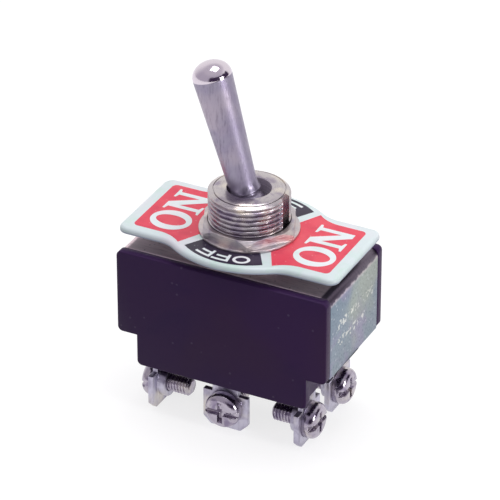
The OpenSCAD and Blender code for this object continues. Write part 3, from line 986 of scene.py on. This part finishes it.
def lever_profile():
    """Radius against distance up the lever: a straight stem, a ball, a short
    neck, a collar that flares towards the ball, then a cone that widens evenly
    to a low elliptical dome."""
    start = math.degrees(math.asin(-math.sqrt(BALL_RADIUS**2 - STEM_RADIUS**2) / BALL_RADIUS))
    end = math.degrees(math.acos(NECK_RADIUS / BALL_RADIUS))
    stem = [
        [0, -STEM_END],
        [STEM_RADIUS - 0.25, -STEM_END],
        [STEM_RADIUS, -STEM_END + 0.25],
        [STEM_RADIUS, -BALL_RADIUS],
    ]
    ball = rounding((0, 0), BALL_RADIUS, start, end, 28)
    wide, foot = COLLAR_RADIUS, COLLAR_START
    collar = [
        [NECK_RADIUS - 0.04, foot - 0.1],
        [wide - 0.12, foot],
        [wide - 0.03, foot + 0.05],
        [wide, foot + 0.14],
        [wide - 0.02, foot + 0.24],
        [wide - 0.1, foot + 0.45],
        [wide - 0.19, foot + 0.75],
        [wide - 0.26, foot + 1.1],
        [NECK_RADIUS + 0.08, foot + 1.5],
    ]
    share = np.linspace(0.0, 1.0, 40)[1:, None]
    cone_foot = np.array(collar[-1])
    cone_end = np.array([TIP_RADIUS, LEVER_LENGTH - TIP_DOME])
    cone = cone_foot + (cone_end - cone_foot) * share
    a = np.radians(np.linspace(0, 90, 30)[1:])
    dome = np.column_stack([TIP_RADIUS * np.cos(a), LEVER_LENGTH - TIP_DOME + TIP_DOME * np.sin(a)])
    dome[-1, 0] = 0
    return np.vstack([stem, ball, collar, cone, dome])


def smooth(t):
    """Smooth step of t: 3 t squared less 2 t cubed."""
    return t * t * (3 - 2 * t)


def thread_wave(phase):
    """Height of a thread from 0 in its root to 1 on its ridge: a triangle wave
    of the phase, cut flat above and below and smoothed."""
    saw = np.abs((phase % 1.0) * 2 - 1)
    return smooth(np.clip((saw - 0.16) / 0.66, 0, 1))


def hexagon(angles, flats, corner_round):
    """Distance from the axis to a hexagon with rounded corners: half the width
    over flats divided by the cosine of the angle from the nearest flat, and
    near a corner the far crossing of the corner's circle."""
    a = (angles + math.pi / 6) % (math.pi / 3) - math.pi / 6
    flat = flats / 2 / np.cos(a)
    corner = math.pi / 6 - np.abs(a)
    centre = (flats / 2 - corner_round) / math.cos(math.pi / 6)
    reach = np.sqrt(np.maximum(corner_round**2 - (centre * np.sin(corner)) ** 2, 0))
    arc = centre * np.cos(corner) + reach
    limit = math.atan2(
        corner_round * math.sin(math.pi / 6), centre + corner_round * math.cos(math.pi / 6)
    )
    return np.where(corner < limit, arc, flat)


def hexagon_angles():
    """Angles for a hexagon with its flats at multiples of 60 degrees: even
    steps, closer at the corners."""
    near = np.array([-3.0, -2.0, -1.2, -0.6, 0.0, 0.6, 1.2, 2.0, 3.0])
    step = np.concatenate([np.linspace(4.0, 56.0, 19), near + 60])
    return np.radians(np.sort(np.concatenate([step + 60 * k - 30 for k in range(6)]) % 360))


def nut_shell(low, high, turn, chamfer):
    """A nut: up its outside from a small foot chamfer, where the radius is the
    lesser of the hexagon and a cone at 45 degrees from the top circle, across
    its top, down a countersink and its bore, and back under it."""
    a = hexagon_angles()
    hexa = hexagon(a, NUT_FLATS, NUT_CORNER_ROUND)
    corner = NUT_FLATS / 2 / math.cos(math.pi / 6)
    foot_r = corner - NUT_FOOT_CHAMFER
    top = np.minimum(hexa, corner - chamfer)
    steps = [
        (np.minimum(hexa, foot_r), low),
        (hexa, low + np.maximum(hexa - foot_r, 0.0)),
        (hexa, high - 0.05 - (hexa - top)),
        (top, high - 0.05),
        (top - 0.07, high),
        (NUT_BORE + NUT_SINK, high),
        (NUT_BORE, high - NUT_SINK),
        (NUT_BORE, low + NUT_SINK),
        (NUT_BORE + NUT_SINK, low),
    ]
    rings = [raised(around(r, a + math.radians(turn)), z) for r, z in steps]
    return ring_shell(np.stack(rings, axis=1))


def washer_shell(low, high, outer, bore, edge):
    """A flat ring with rounded edges, its profile carried round the axis:
    x = r cos a, y = r sin a, z = h."""
    a = np.linspace(0, TURN, 192, endpoint=False)[:, None]
    cut = 0.3 * edge
    profile = np.array(
        [
            [bore, low],
            [outer - edge, low],
            [outer - cut, low + cut],
            [outer, low + edge],
            [outer, high - edge],
            [outer - cut, high - cut],
            [outer - edge, high],
            [bore + edge, high],
            [bore, high - edge],
        ]
    )
    r, z = profile[:, 0], profile[:, 1]
    return ring_shell(np.stack([np.cos(a) * r, np.sin(a) * r, z + 0 * a], axis=-1))


def quarter_outline():
    """Outer edge of the legend plate from the x axis to the y axis: a straight
    end, a round corner, a straight side, a hollow curve and a bulging curve,
    each tangent to the next."""
    end, bulge = cad_box("legend_plate")[1][:2]
    flag, corner, hollow, bulge_r = 8.0, 1.5, 5.0, 14.0
    offset = bulge_r - bulge
    hollow_y = flag + hollow
    hollow_x = math.sqrt((bulge_r + hollow) ** 2 - (offset + hollow_y) ** 2)
    lean = math.degrees(math.atan2(hollow_y + offset, hollow_x))
    y = np.linspace(0, flag - corner, 34)[:-1]
    x = np.linspace(end - corner, hollow_x, 26)[1:-1]
    return np.vstack(
        [
            np.column_stack([np.full(len(y), end), y]),
            rounding((end - corner, flag - corner), corner, 0, 90, 14),
            np.column_stack([x, np.full(len(x), flag)]),
            rounding((hollow_x, hollow_y), hollow, -90, -180 + lean, 22),
            rounding((0, -offset), bulge_r, lean, 90, 40)[1:],
        ]
    )


def whole_outline(quarter):
    """A closed outline from its first quarter, mirrored over both axes."""
    left = quarter[::-1] * [-1, 1]
    half = np.vstack([quarter, left[1:]])
    lower = half[::-1] * [1, -1]
    return np.vstack([half, lower[1:-1]])


def drawn_in(outline, distance):
    """A closed outline moved inwards along its normals by a distance."""
    along = np.roll(outline, -1, axis=0) - np.roll(outline, 1, axis=0)
    along /= np.linalg.norm(along, axis=1)[:, None]
    normal = np.column_stack([along[:, 1], -along[:, 0]])
    return outline - normal * distance


def plate_shell(low, high):
    """The legend plate: its section runs under the plate from the bore, down
    inside the turned edge, round it and back over the top, and is carried
    round the outline. A flat nib reaches into the bore from +X."""
    outline = whole_outline(quarter_outline())
    angle = np.arctan2(outline[:, 1], outline[:, 0])
    inner = around(PLATE_BORE, angle)
    in_nib = (np.abs(inner[:, 1]) < NIB_HALF) & (inner[:, 0] > 0)
    inner[:, 0] = np.where(in_nib, NIB_X, inner[:, 0])
    under = high - PLATE_THICK
    edge = (
        (0.95, under),
        (0.68, under - 0.07),
        (0.52, low + 0.1),
        (0.46, low),
        (0.12, low),
        (0.02, low + 0.08),
        (0.0, low + 0.2),
        (0.0, high - 0.52),
        (0.04, high - 0.34),
        (0.15, high - 0.17),
        (0.33, high - 0.05),
        (0.56, high),
    )
    rounded = [(drawn_in(outline, inset), z) for inset, z in edge]
    sections = [(inner, under), *rounded, (inner, high)]
    return ring_shell(np.stack([raised(p, z) for p, z in sections], axis=1))


def field_edge():
    """Outer edge of a red field from its lower to its upper divider."""
    flat = FIELD_SIDE - FIELD_CORNER
    end = [np.full(30, FIELD_END), np.linspace(0, flat, 31)[:-1]]
    bend = (FIELD_BEND_X, FIELD_SIDE + FIELD_HOLLOW)
    upper = np.vstack(
        [
            np.column_stack(end),
            rounding((FIELD_END - FIELD_CORNER, flat), FIELD_CORNER, 0, 90, 12),
            rounding(bend, FIELD_HOLLOW, -90, -133, 20),
        ]
    )
    lower = upper[::-1] * [1, -1]
    return np.vstack([lower[:-1], upper])


def red_field(side):
    """A red field: the angle of its inner edge is 0.35 of the angle of the
    outer edge, scaled to the dividers, and 0.65 of even steps along it."""
    outer = field_edge()
    steps = np.linalg.norm(np.diff(outer, axis=0), axis=1)
    share = np.concatenate([[0], np.cumsum(steps)]) / steps.sum()
    angle = np.arctan2(outer[:, 1], outer[:, 0])
    half = math.radians(FIELD_HALF_ANGLE)
    even = (share - 0.5) * 2 * half
    inner = around(FIELD_INNER, 0.35 * angle / np.abs(angle).max() * half + 0.65 * even)
    return inner * [side, 1], outer * [side, 1]


def black_arc(side):
    """A black arc between the bushing and its outer circle, its two ends cut
    along the dividers."""
    share = np.linspace(-1, 1, 61)
    middle = math.radians(90) * side
    inner = around(FIELD_INNER, middle + share * math.radians(ARC_INNER_HALF))
    outer = around(ARC_OUTER, middle + share * math.radians(ARC_OUTER_HALF))
    return inner, outer


def letter_n():
    """Outline of a capital N with bracketed serifs, standing on its feet."""
    return np.array(
        [
            [0, 0], [2.25, 0], [2.25, 0.32], [1.5, 0.55], [1.5, 3.75],
            [3.95, 0], [5.02, 0], [5.02, 5.1], [5.7, 5.33], [5.7, 5.65],
            [3.45, 5.65], [3.45, 5.33], [4.2, 5.1], [4.2, 1.75], [1.85, 5.65],
            [-0.1, 5.65], [-0.1, 5.33], [0.7, 5.1], [0.7, 0.55], [0, 0.32],
        ]
    )


def letter_f(width, height, stroke):
    """Grid lines and filled cells of a plain capital F: a stem, a long top arm
    and a shorter middle arm, cut into narrow columns so that it can be bent."""
    stem = stroke * 1.1
    arm = width * 0.86
    us = np.concatenate(
        [[0.0, stem], np.linspace(stem, arm, 8)[1:], np.linspace(arm, width, 3)[1:]]
    )
    low_arm = height * 0.27
    vs = np.array([0, low_arm, low_arm + stroke, height - stroke, height])
    filled = np.zeros((len(us) - 1, len(vs) - 1), bool)
    filled[0] = True
    filled[:, 3] = True
    filled[us[1:] <= arm + 1e-6, 1] = True
    return us, vs, filled


def bent(points, start_angle, base_r):
    """Points of a flat letter laid along a circle: the way along the line
    becomes an angle, and the height adds to the radius."""
    angle = math.radians(start_angle) - points[:, 0] / (base_r + 0.9)
    return around(base_r + points[:, 1], angle)


def on_shells(low, high):
    """The two words ON: for each a hollow O and an N, read from +X."""
    shells = []
    for x, foot in ON_PLACES:
        inner = oval((x, ON_O_Y), 2.32, 1.38)
        outer = oval((x, ON_O_Y), 3.12, 2.68)
        shells.append(band_shell(inner, outer, low, high, True))
        n = letter_n()
        laid = np.column_stack([foot - n[:, 1], ON_N_Y + n[:, 0]])
        shells.append(slab_shell(laid, low, high))
    return shells


def off_shells(low, high):
    """The two words OFF: for each two letters F and an O, bent along an arc
    about the axis, clockwise from the reader's left to right."""
    f = letter_f(OFF_F_WIDTH, OFF_HEIGHT, OFF_STROKE)
    half = OFF_HEIGHT / 2
    o_in = oval((OFF_O_HALF, half), OFF_O_HALF - OFF_STROKE * 1.1, half - OFF_STROKE + 0.06, 60)
    o_out = oval((OFF_O_HALF, half), OFF_O_HALF, half + 0.08, 60)
    shells = []
    for turn in (0, 180):
        t = math.radians(turn)
        spin = np.array([[math.cos(t), math.sin(t)], [-math.sin(t), math.cos(t)]])
        for start in OFF_F_STARTS:

            def laid(points, start=start, spin=spin):
                """Points of the letter on the arc, in the print's place."""
                return bent(points, start, OFF_RADIUS) @ spin + PRINT_AT

            shells.append(cells_shell(*f, low, high, laid))
        inner, outer = (
            bent(edge, OFF_O_START, OFF_RADIUS) @ spin + PRINT_AT for edge in (o_in, o_out)
        )
        shells.append(band_shell(inner, outer, low, high, True))
    return shells


def oval(centre, half_x, half_y, count=72):
    """Points on an ellipse."""
    a = np.linspace(0, TURN, count, endpoint=False)
    return np.column_stack([centre[0] + half_x * np.cos(a), centre[1] + half_y * np.sin(a)])


# --------------------------------------------------------------- operators


class SWITCH_OT_lever(bpy.types.Operator):
    """Spin the lever's profile about its own axis and tilt it to its rest"""

    bl_idname = "switch.lever"
    bl_label = "Lever"

    def execute(self, context):
        points, faces = spun_shell(lever_profile(), np.linspace(0, TURN, 96, endpoint=False))
        put(
            "lever_bat",
            [(thrown(points), faces)],
            material("Lever satin nickel"),
            "lever",
            ("lever",),
            60,
        )
        return {"FINISHED"}


def bushing_shell(pitch, depth):
    """The bushing: closed rings, one above another, round the outside from the
    foot to the top face and down the hole. Each ring has the plain round
    columns first and then the columns across the keyway."""
    low, high = cad_box("bushing")
    top, foot_r, foot_z = high[2], high[1], low[2]
    stack_top = cad_box("panel_nut")[1][2]
    wall = math.asin(KEYWAY_HALF / THREAD_RADIUS)
    round_a = np.linspace(wall, TURN - wall, 220)
    floor_y = np.linspace(-KEYWAY_HALF, KEYWAY_HALF, 9)
    z = np.linspace(stack_top, top, int((top - stack_top) / pitch * 16))[:, None]
    wave = thread_wave(z / pitch - round_a[None, :] / TURN)
    # the ridges run out to a plain land on both sides of the keyway
    from_key = np.minimum(round_a, TURN - round_a) - wall
    fade = smooth(np.clip(from_key / math.radians(5.0), 0, 1))
    thread = THREAD_RADIUS - depth * ((1 - wave) * fade + 0.18 * (1 - fade))
    # the chamfer, from the thread in to a fine turned groove
    chamfer = np.maximum(RIM_RADIUS + (top - 0.06 - z) * CHAMFER_SLOPE, RIM_RADIUS)
    thread = np.minimum(thread, chamfer)
    rows = []

    def ring(radius, height, keyed=False):
        """One level of the profile at every column."""
        r = np.broadcast_to(radius, round_a.shape)
        wide = around(r, round_a)
        if keyed:
            edge_x = math.sqrt(max(r[0] ** 2 - KEYWAY_HALF**2, KEYWAY_FLOOR**2))
            wide[0] = [edge_x, KEYWAY_HALF]
            wide[-1] = [edge_x, -KEYWAY_HALF]
            key = np.column_stack([np.full(9, KEYWAY_FLOOR), floor_y])
        else:
            key = around(r[0], np.linspace(-wall, wall, 11)[1:-1])
        rows.append(raised(np.vstack([wide, key]), height))

    ring(FOOT_BORE, foot_z)
    ring(foot_r, foot_z)
    ring(foot_r, COVER_UNDERSIDE)
    ring(BARREL_RADIUS, COVER_UNDERSIDE)
    ring(BARREL_RADIUS, 0.0)
    ring(BARREL_RADIUS, 0.0, True)
    ring(BARREL_RADIUS, stack_top, True)
    for level, radius in zip(z[:, 0], thread):
        if level < top - 0.07:
            ring(radius, level, True)
    ring(RIM_RADIUS, top - 0.06, True)
    # the groove, then a face that rises a little to the mouth of the hole
    for radius, height in (
        (RIM_RADIUS - 0.03, top - 0.06),
        (RIM_RADIUS - 0.07, top - 0.2),
        (FACE_RADIUS + 0.06, top - 0.2),
        (FACE_RADIUS + 0.02, top - 0.02),
        (FACE_RADIUS - 0.04, top + 0.01),
        (FACE_RADIUS - 0.36, top + 0.13),
        (HOLE_RADIUS + 0.4, top + 0.16),
        (HOLE_RADIUS + 0.09, top + 0.16),
        (HOLE_RADIUS, top + 0.07),
        (HOLE_RADIUS, pivot_height() - 0.6),
    ):
        ring(radius, height)
    return ring_shell(np.stack(rows))


class SWITCH_OT_bushing(bpy.types.Operator):
    """Work out the threaded bushing with its keyway, chamfer and foot"""

    bl_idname = "switch.bushing"
    bl_label = "Bushing"

    def execute(self, context):
        sizes = context.scene.switch_sizes
        shell = bushing_shell(sizes.thread_pitch / MM, sizes.thread_depth / MM)
        looks = material("Turned nickel")
        put("bushing_thread", [shell], looks, "base", ("bushing",), 32)
        return {"FINISHED"}


class SWITCH_OT_fixings(bpy.types.Operator):
    """Make both nuts and the flat and toothed washers"""

    bl_idname = "switch.fixings"
    bl_label = "Nuts and washers"

    def execute(self, context):
        looks = material("Nickel plate")
        for node, name, turn, chamfer in (
            ("rear_nut", "nut_rear", 38, 0.35), ("panel_nut", "nut_panel", 84, 0.7)
        ):
            low, high = cad_box(node)
            shell = nut_shell(low[2], high[2], turn, chamfer)
            put(name, [shell], looks, "base", (node,), 24)
        low, high = cad_box("washer")
        shell = washer_shell(low[2], high[2], high[0], WASHER_BORE, WASHER_EDGE)
        put("washer_flat", [shell], looks, "base", ("washer",))
        softened("lock_washer", "washer_toothed", looks, 0.00006)
        return {"FINISHED"}


class SWITCH_OT_legend(bpy.types.Operator):
    """Make the legend plate with its printed fields and lettering"""

    bl_idname = "switch.legend"
    bl_label = "Legend plate"

    def execute(self, context):
        layer = context.scene.switch_sizes.print_height / MM
        low, high = cad_box("legend_plate")
        top = high[2]
        plate = [plate_shell(low[2], top)]
        looks = material("Enamel")
        put("legend_enamel", plate, looks, "base", ("legend_plate",), 50)
        under = top - layer
        for name, key, figure in (
            ("print_red", "Red print", red_field), ("print_black", "Black print", black_arc)
        ):
            shells = []
            for side in (-1, 1):
                inner, outer = figure(side)
                shells.append(
                    band_shell(inner + PRINT_AT, outer + PRINT_AT, under, top + layer, False)
                )
            put(name, shells, material(key), "base", ())
        height = top + 2 * layer
        whites = on_shells(under, height) + off_shells(under, height)
        put("print_letters", whites, material("White print"), "base", ())
        return {"FINISHED"}


class SWITCH_OT_body(bpy.types.Operator):
    """Round the edges of the moulded housing and the folded cover"""

    bl_idname = "switch.body"
    bl_label = "Housing and cover"

    def execute(self, context):
        width = context.scene.switch_sizes.edge_round
        softened("housing", "housing_moulded", material("Moulded plastic"), width)
        softened("cover_frame", "cover_folded", material("Zinc sheet"), 0.5 * width)
        return {"FINISHED"}


def screw_axes(node):
    """The inner end, length and two axes of a screw from its CAD node: the
    first axis points out through its head, the second lies flat across it."""
    out = np.array(joint(f"{node}_travel")["axis"], float)
    low, high = cad_box(node)
    length = abs((high - low) @ out)
    start = (low + high) / 2 - out * length / 2
    return start, length, out, np.cross([0.0, 0.0, 1.0], out)


def screw_thread(start, length, out, across, pitch):
    """A screw's thread, from a little way in from the drilled CAD end up into
    the head: start + s out + r cos a across + r sin a up."""
    a = np.linspace(0, TURN, 56, endpoint=False)
    plain = length - SCREW_HEAD
    s = np.linspace(SCREW_START, plain + 0.3, int(plain / pitch * 12))[:, None]
    wave = thread_wave(s / pitch - a / TURN)
    taper = SCREW_RADIUS - 0.45 + 1.2 * (s - SCREW_START)
    radius = np.minimum(SCREW_RADIUS - SCREW_THREAD * (1 - wave), taper)
    points = (
        start
        + s[..., None] * out
        + (radius * np.cos(a))[..., None] * across
        + (radius * np.sin(a))[..., None] * np.array([0.0, 0.0, 1.0])
    )
    return tube_shell(points)


class SWITCH_OT_screws(bpy.types.Operator):
    """Make the terminal screws: rounded heads and rolled threads"""

    bl_idname = "switch.screws"
    bl_label = "Terminal screws"

    def execute(self, context):
        pitch = context.scene.switch_sizes.screw_pitch / MM
        looks = material("Screw nickel")
        for node in sorted(n for n in frame["nodes"] if n.startswith("screw_")):
            start, length, out, across = screw_axes(node)

            def shank(co, origin=start + out * (length - SCREW_HEAD), way=out):
                """Whether a point lies behind the head's flat underside."""
                return float((np.array(co) / MM - origin) @ way) < -0.01

            head = node.replace("screw", "cross_screw")
            softened(node, head, looks, 0.00009, 30, shank)
            name = node.replace("screw", "screw_thread")
            shell = screw_thread(start, length, out, across, pitch)
            put(name, [shell], looks, body_of(node), (node,), 40)
        return {"FINISHED"}


class SWITCH_OT_terminals(bpy.types.Operator):
    """Round the edges of the six stamped terminals"""

    bl_idname = "switch.terminals"
    bl_label = "Terminals"

    def execute(self, context):
        looks = material("Terminal plate")
        for node in sorted(n for n in frame["nodes"] if n.startswith("terminal_")):
            name = node.replace("terminal", "tag")
            softened(node, name, looks, 0.0001)
        return {"FINISHED"}


def coil_shell(node, wire):
    """A coil of round wire in a spring's CAD place: a helix about the lever's
    line, with closed turns at both ends and open ones between."""
    verts = np.zeros(len(frame["nodes"][node].data.vertices) * 3)
    frame["nodes"][node].data.vertices.foreach_get("co", verts)
    verts = verts.reshape(-1, 3) / MM
    t = math.radians(lever_tilt())
    up = np.array([-math.sin(t), 0.0, math.cos(t)])
    ahead = np.array([0.0, 1.0, 0.0])
    side = np.cross(ahead, up)
    along = verts @ up
    middle = (verts.min(0) + verts.max(0)) / 2
    middle -= up * (middle @ up)
    start, end = along.min() + wire, along.max() - wire
    coil_r = np.abs(verts[:, 1] - middle[1]).max() - wire
    s = np.linspace(0, 1, 260)
    risen = np.clip((s - COIL_CLOSED) / (1 - 2 * COIL_CLOSED), 0, 1)
    rise = start + (end - start) * risen
    angle = TURN * COIL_TURNS * s[:, None]
    radial = np.cos(angle) * side + np.sin(angle) * ahead
    path = middle + rise[:, None] * up + coil_r * radial
    a = np.linspace(0, TURN, 10, endpoint=False)[None, :, None]
    section = np.cos(a) * radial[:, None, :] + np.sin(a) * up
    return tube_shell(path[:, None, :] + wire * section)


class SWITCH_OT_mechanism(bpy.types.Operator):
    """Wind the springs and finish the pieces inside the body"""

    bl_idname = "switch.mechanism"
    bl_label = "Mechanism"

    def execute(self, context):
        wire = context.scene.switch_sizes.coil_wire / MM / 2
        looks = material("Drawn steel")
        for node in ("spring_front", "spring_back"):
            name = node.replace("spring", "coil")
            shell = coil_shell(node, wire)
            put(name, [shell], looks, body_of(node), (node,), 70)
        for node, key in (
            ("insulator", "Fibre sheet"),
            ("pivot_pin", "Drawn steel"),
            ("actuator", "Nylon"),
            ("plunger_front", "Nylon"),
            ("plunger_back", "Nylon"),
            ("rocker_front", "Copper"),
            ("rocker_back", "Copper"),
            ("rocker_tips_front", "Silver"),
            ("rocker_tips_back", "Silver"),
            ("fixed_contacts", "Silver"),
        ):
            for place in frame["nodes"][node].material_slots:
                place.material = material(key)
        return {"FINISHED"}


def pale_floor():
    """Material of the floor: matt grey that shows as pale paper to the
    camera and in reflections."""
    made = bpy.data.materials.new("Pale floor")
    made.use_nodes = True
    tree = made.node_tree
    tree.nodes.clear()
    rays = add(tree, "ShaderNodeLightPath").outputs
    direct = maths(tree, "MAXIMUM", rays["Is Camera Ray"], rays["Is Glossy Ray"])
    seen = maths(tree, "MAXIMUM", direct, rays["Is Transmission Ray"])
    matt = add(tree, "ShaderNodeBsdfDiffuse", {"Color": (0.32, 0.32, 0.32, 1.0)})
    light = {"Color": (1.0, 1.0, 1.0, 1.0), "Strength": times(tree, seen, 0.76)}
    glow = add(tree, "ShaderNodeEmission", light)
    both = add(tree, "ShaderNodeAddShader", {0: matt.outputs[0], 1: glow.outputs[0]})
    add(tree, "ShaderNodeOutputMaterial", {"Surface": both.outputs[0]})
    return made


def room_light(world):
    """Light of a pale room: white at its far side, greyer above, with a low,
    dark, ragged wall at the right."""
    world.use_nodes = True
    tree = world.node_tree
    tree.nodes.clear()
    way = add(tree, "ShaderNodeTexCoord").outputs["Generated"]
    _, y, z = axes(tree, way)[:3]
    far = spread(tree, y, -0.35, 0.6)
    wall = blend_colour(tree, far, (0.52, 0.49, 0.56, 1), (1.0, 0.99, 0.98, 1))
    above = spread(tree, z, 0.55, 0.9)
    wall = blend_colour(tree, above, wall, (0.62, 0.59, 0.64, 1))
    toward = vectors(tree, "DOT_PRODUCT", way, (0.94, -0.342, 0.0))
    right = spread(tree, toward.outputs["Value"], 0.3, 0.5)
    height = maths(tree, "ADD", z, times(tree, noise(tree, way, 7.0), 0.25))
    low = spread(tree, height, 0.6, 0.72, 1.0, 0.0)
    room = blend_colour(tree, times(tree, right, low), wall, (0.05, 0.03, 0.07, 1))
    sky = add(tree, "ShaderNodeBackground", {"Color": room, "Strength": 1.0})
    add(tree, "ShaderNodeOutputWorld", {"Surface": sky.outputs[0]})


class SWITCH_OT_stage(bpy.types.Operator):
    """Set the pale floor, the soft lights and the camera"""

    bl_idname = "switch.stage"
    bl_label = "Stage"

    def execute(self, context):
        scene = context.scene
        corners = [(x, y, CAD_BOX[0][2]) for x, y in ((-3, -3), (3, -3), (3, 3), (-3, 3))]
        mesh = bpy.data.meshes.new("floor")
        mesh.from_pydata(corners, [], [(0, 1, 2, 3)])
        mesh.materials.append(pale_floor())
        floor = bpy.data.objects.new("floor", mesh)
        scene.collection.objects.link(floor)
        scene.world = bpy.data.worlds.new("Studio")
        room_light(scene.world)
        for name, place, size, power in (
            ("window_right", (0.56, -0.08, 0.12), 0.16, 1.3),
            ("window_top", (0.0, 0.07, 0.6), 0.3, 1.4),
        ):
            lamp = bpy.data.lights.new(name, "AREA")
            lamp.shape = "SQUARE"
            lamp.size = size
            lamp.energy = power
            lit = bpy.data.objects.new(name, lamp)
            lit.location = place
            aim = Vector((0, 0, -0.005)) - Vector(place)
            lit.rotation_euler = aim.to_track_quat("-Z", "Y").to_euler()
            scene.collection.objects.link(lit)
        camera = bpy.data.cameras.new("camera")
        camera.lens = 253.5
        camera.sensor_width = 36
        camera.clip_start = 0.01
        camera.clip_end = 20
        eye = bpy.data.objects.new("camera", camera)
        turn, lift, away = math.radians(26.674), math.radians(30.676), 0.50432
        target = Vector((0.000089, 0, -0.000381))
        flat = math.cos(lift)
        sight = Vector((math.sin(turn) * flat, -math.cos(turn) * flat, math.sin(lift)))
        eye.location = target + away * sight
        eye.rotation_euler = (target - eye.location).to_track_quat("-Z", "Y").to_euler()
        scene.collection.objects.link(eye)
        scene.camera = eye
        scene.view_settings.view_transform = "Standard"
        return {"FINISHED"}


OPERATORS = (
    SWITCH_OT_stage,
    SWITCH_OT_body,
    SWITCH_OT_bushing,
    SWITCH_OT_fixings,
    SWITCH_OT_legend,
    SWITCH_OT_lever,
    SWITCH_OT_terminals,
    SWITCH_OT_screws,
    SWITCH_OT_mechanism,
)


class SWITCH_PT_pieces(bpy.types.Panel):
    """Lists the switch's pieces, sizes and colours"""

    bl_idname = "SWITCH_PT_pieces"
    bl_label = "Toggle Switch"
    bl_space_type = "VIEW_3D"
    bl_region_type = "UI"
    bl_category = "Switch"

    def draw(self, context):
        column = self.layout.column(align=True)
        for made in OPERATORS:
            column.operator(made.bl_idname)
        for group in (context.scene.switch_sizes, context.scene.switch_colours):
            box = self.layout.box()
            for name in group.bl_rna.properties.keys():
                if name not in {"rna_type", "name"}:
                    box.prop(group, name)


CLASSES = (SwitchSizes, SwitchColours, *OPERATORS, SWITCH_PT_pieces)


def register():
    """Registers the classes and the settings on the scene."""
    for made in CLASSES:
        bpy.utils.register_class(made)
    bpy.types.Scene.switch_sizes = bpy.props.PointerProperty(type=SwitchSizes)
    bpy.types.Scene.switch_colours = bpy.props.PointerProperty(type=SwitchColours)


def unregister():
    """Removes the settings and the classes."""
    del bpy.types.Scene.switch_colours
    del bpy.types.Scene.switch_sizes
    for made in reversed(CLASSES):
        bpy.utils.unregister_class(made)


def main():
    """Makes every piece in order."""
    register()
    for made in OPERATORS:
        group, name = made.bl_idname.split(".")
        getattr(getattr(bpy.ops, group), name)()
    bpy.context.view_layer.update()


if __name__ == "__main__":
    main()
